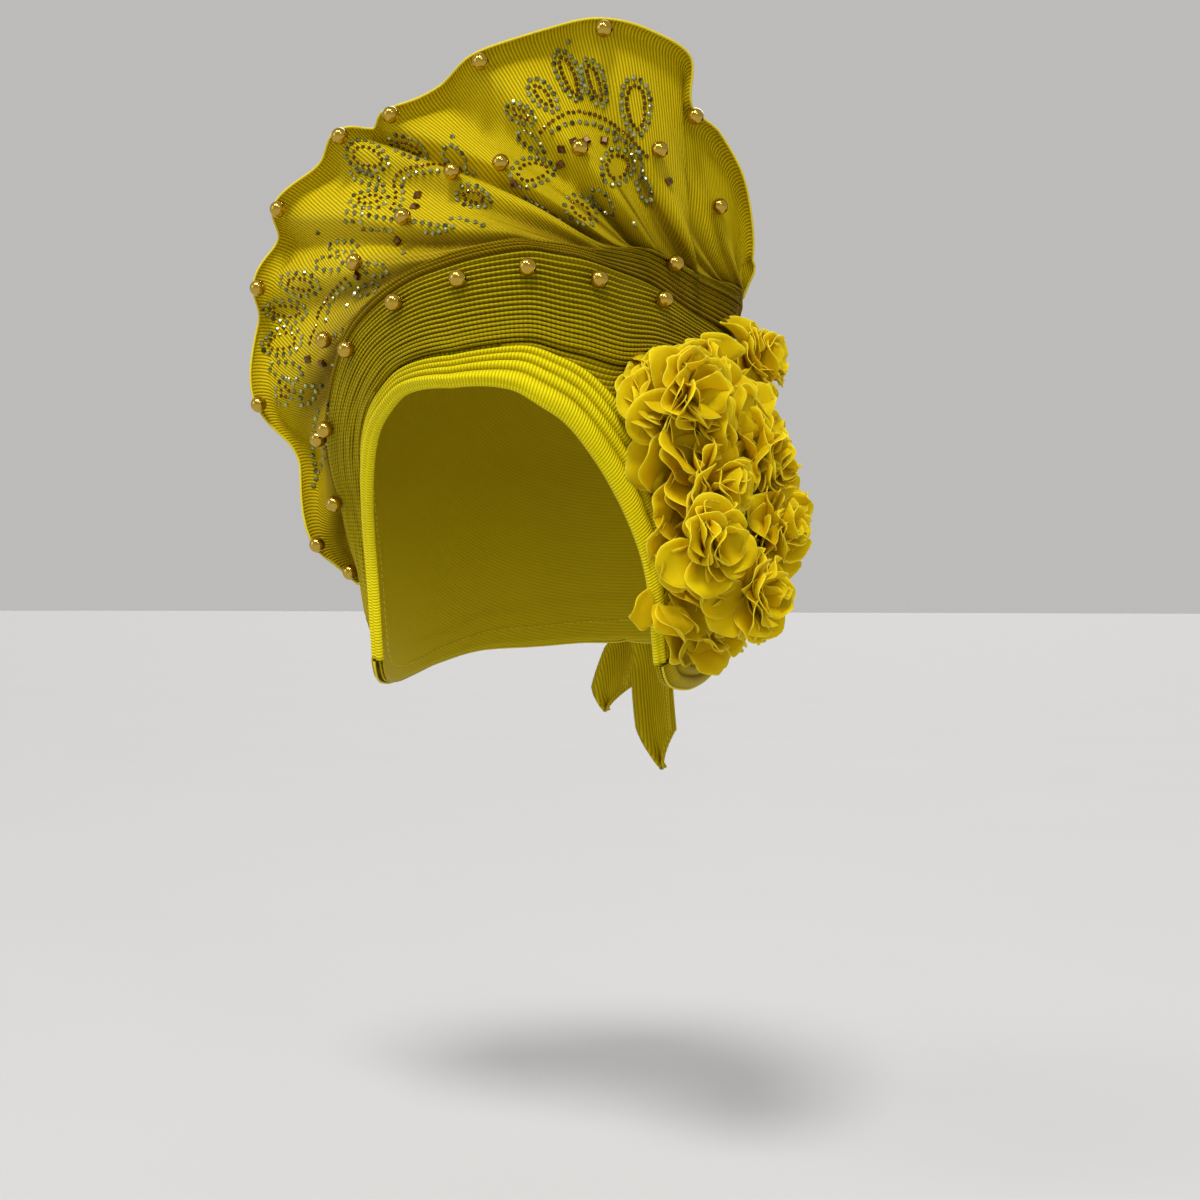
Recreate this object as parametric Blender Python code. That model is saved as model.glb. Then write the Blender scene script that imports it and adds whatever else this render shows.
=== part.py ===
"""A tied gele head tie, worn by a head that is not part of it.

Metres, +Z up. The wearer faces -Y and the wearer's left is +X. The origin is the centre of the
head's girth, just above the brows. A close cap follows the head. Four wraps of cloth frame the
face, a ring of fine pleats stands on them, and a broad pleated fan grows out of the ring. Ring and
fan gather to one point on the wearer's left, under a cluster of cloth flowers.
"""
import math

import bmesh
import bpy
from mathutils import Vector
from mathutils.bvhtree import BVHTree

# The head that wears it
HEAD_HALF_WIDTH = 0.077
HEAD_HALF_LENGTH = 0.097
HEAD_CROWN = 0.105
HEAD_DROP = 0.450
TILT = math.radians(40)

# Cloth and the gaps between pieces that touch
CLOTH = 0.0012
HEAD_EASE = 0.002
CAP_WALL = 0.0015
TOUCH_GAP = 0.0005
SEAM_GAP = 0.0012

# Mesh of the cap. The wraps and the net share its columns, so that their facets lie parallel.
CAP_COLUMNS = 40
CAP_ROWS = 7
COLUMN = 360 / CAP_COLUMNS

# Wraps round the face
BAND_WIDTH = 0.026
BAND_ROLL = 0.0022
BAND_END = round(117 / COLUMN) * COLUMN

# Ring of fine pleats
RING_WIDTH = 0.046
RING_PLEATS = 18
RING_FOLD = 0.0013
RING_BULGE = 0.003
RING_LEAVE = 0.080
RING_COLUMNS = 20
RING_FOOT_GAP = 0.0022

# Fan
FAN_WIDTH = 0.110
FAN_GAP = 0.0020
FAN_FOLD = 0.016
FAN_PEEL = 0.14
FAN_STACK = 0.0026
FAN_LIP = 0.011
FAN_ROWS = 15

# Wraps round the nape
NAPE_WIDTH = 0.030
NAPE_ROLL = 0.0020
NAPE_WRAPS = 4

# Trimmings. BASE_LOW is the net's lower edge, in degrees from the tilted axis.
BEAD_RADIUS = 0.004
FLOWER_RADIUS = 0.025
FLOWER_HEIGHT = 0.021
BASE_RISE = 0.020
BASE_LOW = 124
KNOT_WIDTH = 0.022
TAIL_WIDTH = 0.024
TAIL_LENGTH = 0.080

# Edge of the cap from the forehead round to the nape, both sides alike.
# around: degrees from the face about the tilted axis, down: degrees from that axis
RIM = [
    # around, down
    (0, 114),
    (17, 113),
    (26, 115),
    (35, 117),
    (48, 122),
    (62, 127),
    (76, 131),
    (89, 134),
    (101, 137),
    (113, 140),
    (122, 140),
    (128, 135),
    (133, 128),
    (139, 119),
    (148, 108),
    (157, 101),
    (169, 95),
    (180, 93),
]

# Width of the four wraps as a share of BAND_WIDTH
BAND = [
    # around, width
    (-120, 0.20),
    (-100, 0.35),
    (-80, 0.45),
    (-50, 0.42),
    (-20, 0.38),
    (0, 0.48),
    (10, 0.58),
    (22, 0.80),
    (35, 0.92),
    (60, 1.00),
    (80, 0.98),
    (100, 0.75),
    (120, 0.20),
]

# Ring sections. leave is the height above the wraps as a share of RING_LEAVE, and x, y and z run
# from the ring's foot to its outer edge as shares of RING_WIDTH.
RING = [
    # around, leave, x, y, z
    (-114, 0.00, -0.30, 0.40, 0.60),
    (-91, 0.00, -0.35, 0.18, 0.10),
    (-73, 0.00, -0.40, 0.15, 0.02),
    (-54, 0.00, -0.55, 0.26, -0.04),
    (-38, 0.00, -0.63, 0.27, 0.02),
    (-24, 0.00, -0.59, 0.16, 0.34),
    (-14, 0.00, -0.45, 0.07, 0.55),
    (-4, 0.00, -0.26, 0.03, 0.74),
    (6, 0.00, -0.14, 0.01, 0.82),
    (17, 0.00, -0.05, 0.02, 0.87),
    (30, 0.03, -0.07, 0.05, 0.94),
    (42, 0.14, -0.10, 0.09, 0.95),
    (52, 0.36, -0.08, 0.12, 0.81),
    (67, 0.66, 0.00, 0.13, 0.60),
    (86, 1.00, 0.22, 0.23, 0.50),
]

# Fan sections from the free tip to the gather. along is the share of the outer edge's length, ring
# the place on the ring's outer edge that the section starts from, and x, y and z run from there to
# the fan's outer edge as shares of FAN_WIDTH.
FAN = [
    # along, ring, x, y, z
    (0.000, 0.000, -0.07, -0.01, -0.02),
    (0.030, 0.035, -0.12, -0.03, -0.03),
    (0.062, 0.070, -0.18, -0.04, 0.00),
    (0.150, 0.160, -0.31, 0.02, 0.20),
    (0.187, 0.250, -0.44, 0.08, 0.20),
    (0.236, 0.310, -0.55, 0.16, 0.27),
    (0.287, 0.360, -0.63, 0.25, 0.35),
    (0.353, 0.450, -0.74, 0.30, 0.50),
    (0.433, 0.600, -0.86, 0.26, 0.64),
    (0.476, 0.700, -0.88, 0.13, 0.70),
    (0.523, 0.770, -0.78, -0.02, 0.84),
    (0.567, 0.810, -0.62, -0.11, 0.94),
    (0.625, 0.850, -0.38, -0.16, 1.06),
    (0.674, 0.870, -0.17, -0.17, 1.09),
    (0.718, 0.895, -0.01, -0.17, 1.08),
    (0.757, 0.930, 0.08, -0.17, 1.04),
    (0.804, 0.945, 0.01, -0.14, 0.87),
    (0.840, 0.965, 0.07, -0.10, 0.80),
    (0.889, 0.980, 0.14, -0.05, 0.62),
    (0.931, 0.990, 0.13, 0.00, 0.43),
    (0.981, 0.995, 0.07, 0.08, 0.20),
    (1.000, 1.000, 0.01, 0.11, 0.14),
]

# Where each crest of the fan meets the outer edge, and how much further along its second bead
# sits, both as shares of the outer edge's length. depth is the fall to the next valley as a share
# of FAN_FOLD. The first and last rows carry no bead.
CREST = [
    # fold, along, bead, depth
    (0, -0.140, 0.0, 1.0),
    (1, 0.062, 0.125, 0.8),
    (2, 0.187, 0.098, 0.3),
    (3, 0.287, 0.073, 0.5),
    (4, 0.353, 0.062, 0.6),
    (5, 0.433, 0.038, 0.5),
    (6, 0.476, 0.041, 0.7),
    (7, 0.567, 0.045, 0.6),
    (8, 0.674, 0.043, 0.35),
    (9, 0.804, 0.038, 0.25),
    (10, 0.950, 0.0, 0.2),
]

# Beads on the ring's outermost pleat, as shares of the ring's length
RING_BEADS = (0.03, 0.15, 0.27, 0.37, 0.47, 0.565, 0.65, 0.745, 0.86)
RING_BEAD_ROW = 0.76

# One more bead deep in a valley of the fan
INNER_BEAD = (6.0, 0.725)

# Flowers in the order they are sewn on, each by its direction from the head's centre, its size as
# a share of the flower sizes and its turn about its own axis in degrees
FLOWERS = [
    # around, down, size, turn
    (58, 97, 1.00, 10),
    (104, 72, 1.00, 40),
    (79, 114, 1.00, 20),
    (120, 86, 1.00, 55),
    (92, 92, 0.96, 5),
    (87, 131, 0.96, 30),
    (127, 109, 0.94, 60),
    (106, 131, 0.92, 25),
    (106, 110, 0.92, 70),
    (86, 56, 0.90, 50),
]

# Petal shape from the flower's foot, over its rim, to its heart. radius and height are shares of
# FLOWER_RADIUS and FLOWER_HEIGHT, lobe is how far the five petals stand out, turn moves the lobes
PETALS = [
    # radius, height, lobe, turn
    (0.42, 0.00, 0.00, 0),
    (0.88, 0.42, 0.16, 0),
    (0.72, 0.38, 0.10, 0),
    (0.60, 0.72, 0.16, 36),
    (0.46, 0.50, 0.04, 36),
    (0.32, 0.88, 0.14, 0),
    (0.14, 0.62, 0.00, 0),
]

# Loose ends of the tie. length is a share of TAIL_LENGTH, lean the sideways drift as a share of the
# end's own length, aside its start beside the knot's middle as a share of KNOT_WIDTH.
TAILS = [
    # name, length, lean, aside
    ("tie_tail_long", 1.00, -0.12, -0.20),
    ("tie_tail_short", 0.62, 0.30, 0.25),
]

COLOURS = {
    # name: colour, roughness, metallic
    "gele_yellow": ((0.68, 0.56, 0.012), 0.55, 0.0),
    "chiffon_yellow": ((0.72, 0.52, 0.010), 0.70, 0.0),
    "net_yellow": ((0.50, 0.40, 0.020), 0.80, 0.0),
    "bead_gold": ((0.83, 0.58, 0.16), 0.12, 1.0),
}


def between(table, key, column):
    """Value of a table's column at a key, on a smooth curve through the rows."""
    key = min(max(key, table[0][0]), table[-1][0])
    i = 0
    while i < len(table) - 2 and key > table[i + 1][0]:
        i += 1

    def slope(k):
        low, high = max(k - 1, 0), min(k + 1, len(table) - 1)
        return (table[high][column] - table[low][column]) / (table[high][0] - table[low][0])

    span = table[i + 1][0] - table[i][0]
    t = (key - table[i][0]) / span
    start, end = table[i][column], table[i + 1][column]
    m0, m1 = slope(i) * span, slope(i + 1) * span
    return (
        (2 * t ** 3 - 3 * t ** 2 + 1) * start
        + (t ** 3 - 2 * t ** 2 + t) * m0
        + (3 * t ** 2 - 2 * t ** 3) * end
        + (t ** 3 - t ** 2) * m1
    )


def head_direction(around, down):
    """Unit vector at the given degrees about and from the axis tilted back over the head."""
    around, down = math.radians(around), math.radians(down)
    axis = Vector((0, math.sin(TILT), math.cos(TILT)))
    face = Vector((0, -math.cos(TILT), math.sin(TILT)))
    side = Vector((1, 0, 0))
    return math.cos(down) * axis + math.sin(down) * (math.cos(around) * face + math.sin(around) * side)


def head_point(around, down, lift=0.0):
    """Point on the head form, raised by lift along its normal."""
    d = head_direction(around, down)
    tall = HEAD_CROWN if d.z > 0 else HEAD_DROP
    axes = Vector((HEAD_HALF_WIDTH, HEAD_HALF_LENGTH, tall))
    reach = 1 / math.sqrt(sum((d[i] / axes[i]) ** 2 for i in range(3)))
    p = d * reach
    return p + head_normal(p, axes) * lift


def head_normal(point, axes=None):
    """Outward normal of the head form under a point."""
    if axes is None:
        axes = Vector((HEAD_HALF_WIDTH, HEAD_HALF_LENGTH, HEAD_CROWN if point.z > 0 else HEAD_DROP))
    return Vector([point[i] / axes[i] ** 2 for i in range(3)]).normalized()


def climb(around, down, distance):
    """Angle from the axis after going up the head by a distance."""
    steps = 8
    for _ in range(steps):
        per_degree = (head_point(around, down - 0.5) - head_point(around, down + 0.5)).length
        down -= distance / steps / per_degree
    return down


def rim(around):
    return between(RIM, abs(around), 1)


def band_top(around):
    """Upper edge of the wraps round the face."""
    return climb(around, rim(around), BAND_WIDTH * between(BAND, around, 1))


def cap_lift():
    """Height of the cap's outer face above the head."""
    return HEAD_EASE + CAP_WALL


def face_out(bm):
    """Make every face of a closed body point outwards."""
    bmesh.ops.recalc_face_normals(bm, faces=bm.faces)
    if bm.calc_volume(signed=True) < 0:
        bmesh.ops.reverse_faces(bm, faces=bm.faces)


def make_object(name, bm, colour, parts):
    """Turn a bmesh into an object with its own material in the parts collection."""
    face_out(bm)
    mesh = bpy.data.meshes.new(name)
    bm.to_mesh(mesh)
    bm.free()
    mesh.shade_smooth()
    obj = bpy.data.objects.new(name, mesh)
    material = bpy.data.materials.new(name + "_material")
    material.use_nodes = True
    shader = material.node_tree.nodes["Principled BSDF"]
    base, rough, metal = COLOURS[colour]
    shader.inputs["Base Color"].default_value = (*base, 1)
    shader.inputs["Roughness"].default_value = rough
    shader.inputs["Metallic"].default_value = metal
    mesh.materials.append(material)
    parts.objects.link(obj)
    return obj


def slab(columns, rows, place):
    """Sheet of cloth with two faces. place(u, v, side) gives a point, with u, v and side from 0 to 1."""
    bm = bmesh.new()
    bmesh.ops.create_grid(bm, x_segments=columns, y_segments=rows, size=1)
    extruded = bmesh.ops.extrude_face_region(bm, geom=bm.faces[:])
    for vert in [g for g in extruded["geom"] if isinstance(g, bmesh.types.BMVert)]:
        vert.co.z = 1
    for vert in bm.verts:
        vert.co = place((vert.co.x + 1) / 2, (vert.co.y + 1) / 2, vert.co.z)
    return bm


def crown_cap():
    """Close cap over the head, open underneath."""
    bm = bmesh.new()
    bmesh.ops.create_uvsphere(bm, u_segments=CAP_COLUMNS, v_segments=CAP_ROWS + 1, radius=1)
    bottom = min(bm.verts, key=lambda v: v.co.z)
    bmesh.ops.delete(bm, geom=[bottom], context="VERTS")
    extruded = bmesh.ops.extrude_face_region(bm, geom=bm.faces[:])
    for vert in [g for g in extruded["geom"] if isinstance(g, bmesh.types.BMVert)]:
        vert.co *= 2
    for vert in bm.verts:
        lift = cap_lift() if vert.co.length > 1.5 else HEAD_EASE
        polar = vert.co.angle(Vector((0, 0, 1)))
        around = math.degrees(math.atan2(vert.co.x, -vert.co.y)) if polar > 0.01 else 0
        share = polar / math.pi * (CAP_ROWS + 1) / CAP_ROWS
        vert.co = head_point(around, rim(around) * share, lift)
    return bm


def roll_height(v, grooves):
    """Height from 0 to 1 of rolls that meet at the given grooves."""
    for low, high in zip(grooves, grooves[1:]):
        if low <= v <= high:
            return math.sin(math.pi * (v - low) / (high - low))
    return 0.0


def roll_rows(grooves):
    """Two rows a roll, one in each groove and one on each crest."""
    rows = [grooves[0]]
    for low, high in zip(grooves, grooves[1:]):
        rows += [(low + high) / 2, high]
    return rows


def brow_band():
    """Four wraps round the face, from ear to ear."""
    grooves = (0, 0.34, 0.58, 0.80, 1)
    rows = roll_rows(grooves)
    columns = round(2 * BAND_END / COLUMN)

    def place(u, v, side):
        around = -BAND_END + 2 * BAND_END * u
        share = rows[round(v * (len(rows) - 1))]
        down = rim(around) + (band_top(around) - rim(around)) * share
        lift = cap_lift() + TOUCH_GAP + side * (CLOTH + BAND_ROLL * roll_height(share, grooves))
        return head_point(around, down, lift)

    return slab(columns, len(rows) - 1, place)


def ring_section(t):
    """Foot and outer edge of the ring at a share of its length."""
    row = t * (len(RING) - 1)
    table = [(i, *values) for i, values in enumerate(RING)]
    around, x, y, z = (between(table, row, column) for column in (1, 3, 4, 5))
    foot = head_point(around, ring_foot_down(around), cap_lift() + SEAM_GAP)
    return foot, foot + RING_WIDTH * Vector((x, y, z))


def ring_foot_down(around):
    """Angle from the axis at which the ring stands on the cap."""
    leave = max(between(RING, around, 1), 0)
    return climb(around, band_top(around), RING_FOOT_GAP + RING_LEAVE * leave)


def ring_point(t, v):
    """Point on the ring's middle surface before it is pleated, v from foot to outer edge."""
    foot, outer = ring_section(t)
    out = head_normal(foot)
    return foot + (outer - foot) * v + out * RING_BULGE * math.sin(math.pi * v)


def ring_front(t):
    """Direction that the ring faces, towards the front."""
    step = 0.02
    low, high = max(t - step, 0), min(t + step, 1)
    along = ring_point(high, 0.6) - ring_point(low, 0.6)
    foot, outer = ring_section(t)
    return along.cross(outer - foot).normalized()


def pleat_ring():
    """Fine pleats side by side, wider towards the outer edge."""
    rows = 2 * RING_PLEATS

    def place(u, v, side):
        wave = RING_FOLD if round(v * rows) % 2 else 0
        share = 0.7 * v + 0.3 * v ** 2
        return ring_point(u, share) + ring_front(u) * (wave + side * CLOTH)

    return slab(RING_COLUMNS, rows, place)


def fan_section(s):
    """Start on the ring's outer edge and outer edge of the fan at a share of its length."""
    q, x, y, z = (between(FAN, s, column) for column in range(1, 5))
    start = ring_point(min(max(q, 0), 1), 1)
    return start, start + FAN_WIDTH * Vector((x, y, z))


def fan_lip(s):
    """Step from the flat of the fan to its outer edge, which turns forward."""
    start, edge = fan_section(s)
    reach = min(FAN_LIP, 0.4 * (edge - start).length)
    return ((edge - start).normalized() * 0.45 + fan_front(s) * 0.70) * reach


def fan_front(s):
    """Direction that the fan faces, towards the front."""
    step = 0.10
    low, high = max(s - step, 0), min(s + step, 1)
    low_start, low_edge = fan_section(low)
    high_start, high_edge = fan_section(high)
    along = (high_start + high_edge - low_start - low_edge) / 2
    start, edge = fan_section(max(s, 0.06))
    return along.cross(edge - start).normalized()


def fan_progress(s):
    """Mean of the shares gone along the outer edge and along the ring."""
    return (s + between(FAN, s, 1)) / 2


def along_from_progress(progress):
    """Share of the outer edge's length at a progress from 0 to 1."""
    low, high = 0.0, 1.0
    for _ in range(24):
        s = (low + high) / 2
        if fan_progress(s) < progress:
            low = s
        else:
            high = s
    return s


def fan_distance(fold, s):
    """Distance from the ring to a fold of the fan, and the fan's width there."""
    start, edge = fan_section(s)
    width = (edge - fan_lip(s) - start).length
    stack = min(FAN_STACK, width / 10) * fold
    peel = min(max((s - between(CREST, fold, 1)) / FAN_PEEL, 0), 1)
    return stack + (width - stack) * (1 - peel) ** 2, width


def fold_wave(fold):
    """Height from -1 to 1 of the fan's surface: crests at whole folds, valleys two thirds on."""
    phase = fold - math.floor(fold)
    if phase < 0.62:
        return math.cos(math.pi * phase / 0.62)
    return -math.cos(math.pi * (phase - 0.62) / 0.38)


def fan_point(fold, share, lift=0.0):
    """Point on the fan along one fold, share 0 at the outer edge and 1 at the gather."""
    first = fan_progress(max(between(CREST, fold, 1), 0))
    s = along_from_progress(first + (1 - first) * share)
    distance, width = fan_distance(fold, s)
    near, far = fan_distance(max(fold - 0.5, 0), s)[0], fan_distance(min(fold + 0.5, 10), s)[0]
    depth = min(0.45 * max(far - near - 1.2 * FAN_STACK, 0), FAN_FOLD * between(CREST, fold, 3))
    start, edge = fan_section(s)
    across = (edge - fan_lip(s) - start) / width
    p = start + across * (FAN_GAP + distance)
    return p + fan_front(s) * (depth * (fold_wave(fold) - 1) / 2 + lift)


def bead_share(along, second):
    """Share along a fold of a bead that sits further along than the fold's start."""
    first, here = fan_progress(along), fan_progress(along + second)
    return (here - first) / (1 - first)


def fan():
    """Broad pleated fan with its outer edge turned forward."""
    phases = (0, 0.31, 0.62, 0.81)
    folds = [whole + phase for whole in range(10) for phase in phases] + [10]
    shares = [i / FAN_ROWS for i in range(FAN_ROWS + 1)]

    def place(u, v, side):
        fold = folds[round(u * (len(folds) - 1))]
        row = round(v * (FAN_ROWS + 1)) - 1
        if row >= 0:
            return fan_point(fold, shares[row], side * CLOTH)
        return fan_point(fold, 0, side * CLOTH) + fan_lip(max(between(CREST, fold, 1), 0))

    return slab(len(folds) - 1, FAN_ROWS + 1, place)


def nape_band():
    """Fine wraps round the back of the neck, from behind one ear to behind the other."""
    grooves = [i / NAPE_WRAPS for i in range(NAPE_WRAPS + 1)]
    rows = roll_rows(grooves)
    reach = 360 - 2 * BAND_END
    columns = round(reach / COLUMN)

    def place(u, v, side):
        around = BAND_END + reach * u
        clear = 0.8
        around = min(max(around, BAND_END + clear), BAND_END + reach - clear)
        mirrored = around if around <= 180 else around - 360
        down = climb(mirrored, rim(mirrored), NAPE_WIDTH * v)
        lift = cap_lift() + SEAM_GAP + side * (CLOTH + NAPE_ROLL * roll_height(v, grooves))
        return head_point(mirrored, down, lift)

    return slab(columns, len(rows) - 1, place)


def flower_base():
    """Gathered net mound that the flowers are sewn to."""
    first, last = round(54 / COLUMN) * COLUMN, round(126 / COLUMN) * COLUMN

    def place(u, v, side):
        around = first + (last - first) * u
        low = band_top(around) if around <= BAND_END else climb(around, rim(around), NAPE_WIDTH)
        low = min(low - 1.5, BASE_LOW)
        high = ring_foot_down(around) + 4
        down = low + (high - low) * v
        rise = (math.sin(math.pi * u) * math.sin(math.pi * v)) ** 0.5 if 0 < u < 1 and 0 < v < 1 else 0
        lift = cap_lift() + SEAM_GAP + side * (CLOTH + BASE_RISE * rise)
        return head_point(around, down, lift)

    return slab(round((last - first) / COLUMN), 7, place)


def flower(size, turn):
    """Rosette of five-lobed petals, foot at the origin and opening along +Z."""
    bm = bmesh.new()
    bmesh.ops.create_uvsphere(bm, u_segments=10, v_segments=len(PETALS) + 1, radius=1)
    for vert in bm.verts:
        polar = vert.co.angle(Vector((0, 0, -1)))
        ring = round(polar / math.pi * (len(PETALS) + 1))
        angle = math.atan2(vert.co.y, vert.co.x)
        if ring == 0:
            vert.co = (0, 0, 0)
        elif ring > len(PETALS):
            vert.co = (0, 0, PETALS[-1][1] * 0.9 * FLOWER_HEIGHT * size)
        else:
            radius, height, lobe, shift = PETALS[ring - 1]
            radius *= 1 + lobe * math.cos(5 * (angle - math.radians(shift)))
            facing = angle + math.radians(turn)
            vert.co = Vector((
                radius * FLOWER_RADIUS * size * math.cos(facing),
                radius * FLOWER_RADIUS * size * math.sin(facing),
                height * FLOWER_HEIGHT * size,
            ))
    return bm


def bead():
    bm = bmesh.new()
    bmesh.ops.create_uvsphere(bm, u_segments=10, v_segments=4, radius=BEAD_RADIUS)
    return bm


def knot():
    """Knot that closes the wraps at the nape, opening along +Z."""
    bm = bmesh.new()
    bmesh.ops.create_uvsphere(bm, u_segments=12, v_segments=6, radius=1)
    for vert in bm.verts:
        vert.co = Vector((vert.co.x * 0.5, vert.co.y * 0.36, vert.co.z * 0.26)) * KNOT_WIDTH
    return bm


def tail(length, lean):
    """Flat end of the tie with a pointed tip, hanging along -Y from the origin, facing +Z."""

    def place(u, v, side):
        narrow = 0.45 + 0.55 * min(v / 0.3, 1)
        point = max(v - 0.72, 0) / 0.28
        half = TAIL_WIDTH / 2 * narrow * (1 - 0.94 * point)
        x = (2 * u - 1) * half + lean * length * v + point * half * 0.5
        curl = 0.10 * TAIL_WIDTH * math.cos(math.pi * (2 * u - 1))
        return Vector((x, -length * v, curl + side * CLOTH))

    return slab(4, 7, place)


def seat(bm, foot, axis, carriers, gap, up=Vector((0, 0, 1)), spin=0.0):
    """Turn a piece to an axis and slide it down that axis until it rests on its carriers."""
    axis = axis.normalized()
    side = up.cross(axis).normalized()
    ahead = axis.cross(side)
    for vert in bm.verts:
        vert.co = side * vert.co.x + ahead * vert.co.y + axis * vert.co.z
    face_out(bm)
    bm.normal_update()
    faces = [[v.index for v in f.verts] for f in bm.faces]
    bm.verts.ensure_lookup_table()
    grown = [v.co + v.normal * gap for v in bm.verts]
    travel, step = 0.060, 0.0003
    height = travel
    while height > -travel:
        shift = foot + axis * (height - step)
        tree = BVHTree.FromPolygons([p + shift for p in grown], faces)
        if any(tree.overlap(carrier) for carrier in carriers):
            break
        height -= step
    for vert in bm.verts:
        vert.co += foot + axis * height
    return bm


def tree_of(obj):
    points = [v.co.copy() for v in obj.data.vertices]
    return BVHTree.FromPolygons(points, [list(p.vertices) for p in obj.data.polygons])


def build():
    for obj in list(bpy.data.objects):
        bpy.data.objects.remove(obj, do_unlink=True)
    parts = bpy.data.collections.new("tied_gele_head_tie")
    bpy.context.scene.collection.children.link(parts)

    cap = make_object("crown_cap", crown_cap(), "gele_yellow", parts)
    band = make_object("brow_band", brow_band(), "gele_yellow", parts)
    ring = make_object("pleat_ring", pleat_ring(), "gele_yellow", parts)
    wide = make_object("fan", fan(), "gele_yellow", parts)
    nape = make_object("nape_band", nape_band(), "gele_yellow", parts)
    base = make_object("flower_base", flower_base(), "net_yellow", parts)
    cloth = [tree_of(obj) for obj in (cap, band, ring, wide, nape, base)]
    cap_tree, band_tree, ring_tree, fan_tree, nape_tree, base_tree = cloth

    for number, (fold, along, second, depth) in enumerate(CREST[1:-1], 1):
        ball = seat(bead(), fan_point(fold, 0), fan_front(along), [fan_tree], TOUCH_GAP)
        make_object("bead_edge_%d" % number, ball, "bead_gold", parts)
        place = fan_point(fold, bead_share(along, second))
        ball = seat(bead(), place, fan_front(along + second), [fan_tree, ring_tree], TOUCH_GAP)
        make_object("bead_fan_%d" % number, ball, "bead_gold", parts)
    fold, along = INNER_BEAD
    share = bead_share(between(CREST, fold, 1), along - between(CREST, fold, 1))
    ball = seat(bead(), fan_point(fold, share), fan_front(along), [fan_tree, ring_tree], TOUCH_GAP)
    make_object("bead_fan_10", ball, "bead_gold", parts)
    for number, t in enumerate(RING_BEADS, 1):
        ball = seat(bead(), ring_point(t, RING_BEAD_ROW), ring_front(t), [ring_tree, fan_tree], TOUCH_GAP)
        make_object("bead_ring_%d" % number, ball, "bead_gold", parts)

    carriers = list(cloth)
    for number, (around, down, size, turn) in enumerate(FLOWERS, 1):
        foot = head_point(around, down, cap_lift() + BASE_RISE)
        bloom = seat(flower(size, turn), foot, head_normal(foot), carriers, TOUCH_GAP)
        obj = make_object("flower_%d" % number, bloom, "chiffon_yellow", parts)
        carriers.append(tree_of(obj))

    back = head_point(180, rim(180), cap_lift() + NAPE_ROLL)
    middle = back + Vector((0, 0, NAPE_WIDTH * 0.55))
    tie = seat(knot(), middle, Vector((0, 1, 0)), [nape_tree, cap_tree], TOUCH_GAP)
    knot_obj = make_object("tie_knot", tie, "gele_yellow", parts)
    carriers = [nape_tree, cap_tree, tree_of(knot_obj)]
    under = middle - Vector((0, 0, KNOT_WIDTH * 0.40))
    for name, length, lean, aside in TAILS:
        strip = tail(TAIL_LENGTH * length, lean)
        foot = under + Vector((-aside * KNOT_WIDTH, 0, 0))
        strip = seat(strip, foot, Vector((0, 1, 0.10)), carriers, TOUCH_GAP)
        obj = make_object(name, strip, "gele_yellow", parts)
        carriers.append(tree_of(obj))
    return parts


build()
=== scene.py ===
"""Looks of a tied gele head tie: ribbed yellow cloth, gold beads, rhinestones and chiffon flowers.

Metres, +Z up. The wearer faces -Y and the wearer's left is +X. Shapes follow the same head form and
section tables as the solids, on finer grids, with the folds, hems and stitches added.
"""
import math
import random

import bmesh
import bpy
import numpy as np
from mathutils import Matrix, Vector, noise
from mathutils.bvhtree import BVHTree


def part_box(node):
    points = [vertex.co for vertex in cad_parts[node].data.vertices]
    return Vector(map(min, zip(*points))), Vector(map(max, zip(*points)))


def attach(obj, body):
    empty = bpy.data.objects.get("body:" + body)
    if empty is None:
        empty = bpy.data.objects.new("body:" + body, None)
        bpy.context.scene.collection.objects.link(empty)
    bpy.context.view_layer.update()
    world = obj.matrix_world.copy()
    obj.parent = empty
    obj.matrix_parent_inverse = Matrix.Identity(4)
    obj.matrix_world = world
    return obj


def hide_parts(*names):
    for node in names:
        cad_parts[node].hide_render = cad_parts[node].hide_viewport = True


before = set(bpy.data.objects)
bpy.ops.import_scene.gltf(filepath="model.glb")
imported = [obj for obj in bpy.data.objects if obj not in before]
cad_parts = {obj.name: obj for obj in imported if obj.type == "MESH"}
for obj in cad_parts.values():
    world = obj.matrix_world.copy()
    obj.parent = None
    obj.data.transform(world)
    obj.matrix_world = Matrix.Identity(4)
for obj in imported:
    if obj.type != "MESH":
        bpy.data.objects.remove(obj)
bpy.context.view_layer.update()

# The photograph's camera: level, 24 degrees to the wearer's left, 0.9 m from the head's centre
VIEW_TURN = math.radians(24)
VIEW_DISTANCE = 0.900
METRES_PER_PIXEL = 0.00049
IMAGE_SIZE = 1200
IMAGE_CENTRE = 600
HEAD_CENTRE_X, HEAD_CENTRE_Y = 546, 462
VIEW_RIGHT = Vector((math.cos(VIEW_TURN), math.sin(VIEW_TURN), 0))
VIEW_BACK = Vector((math.sin(VIEW_TURN), -math.cos(VIEW_TURN), 0))
EYE = (
    VIEW_BACK * VIEW_DISTANCE
    + VIEW_RIGHT * (IMAGE_CENTRE - HEAD_CENTRE_X) * METRES_PER_PIXEL
    + Vector((0, 0, (HEAD_CENTRE_Y - IMAGE_CENTRE) * METRES_PER_PIXEL))
)

# Head form
HEAD_ABOVE = np.array((0.077, 0.097, 0.105))
HEAD_BELOW = np.array((0.077, 0.097, 0.450))
TILT = math.radians(40)
TOP_AXIS = np.array((0, math.sin(TILT), math.cos(TILT)))
FACE_AXIS = np.array((0, -math.cos(TILT), math.sin(TILT)))
SIDE_AXIS = np.array((1, 0, 0))

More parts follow.
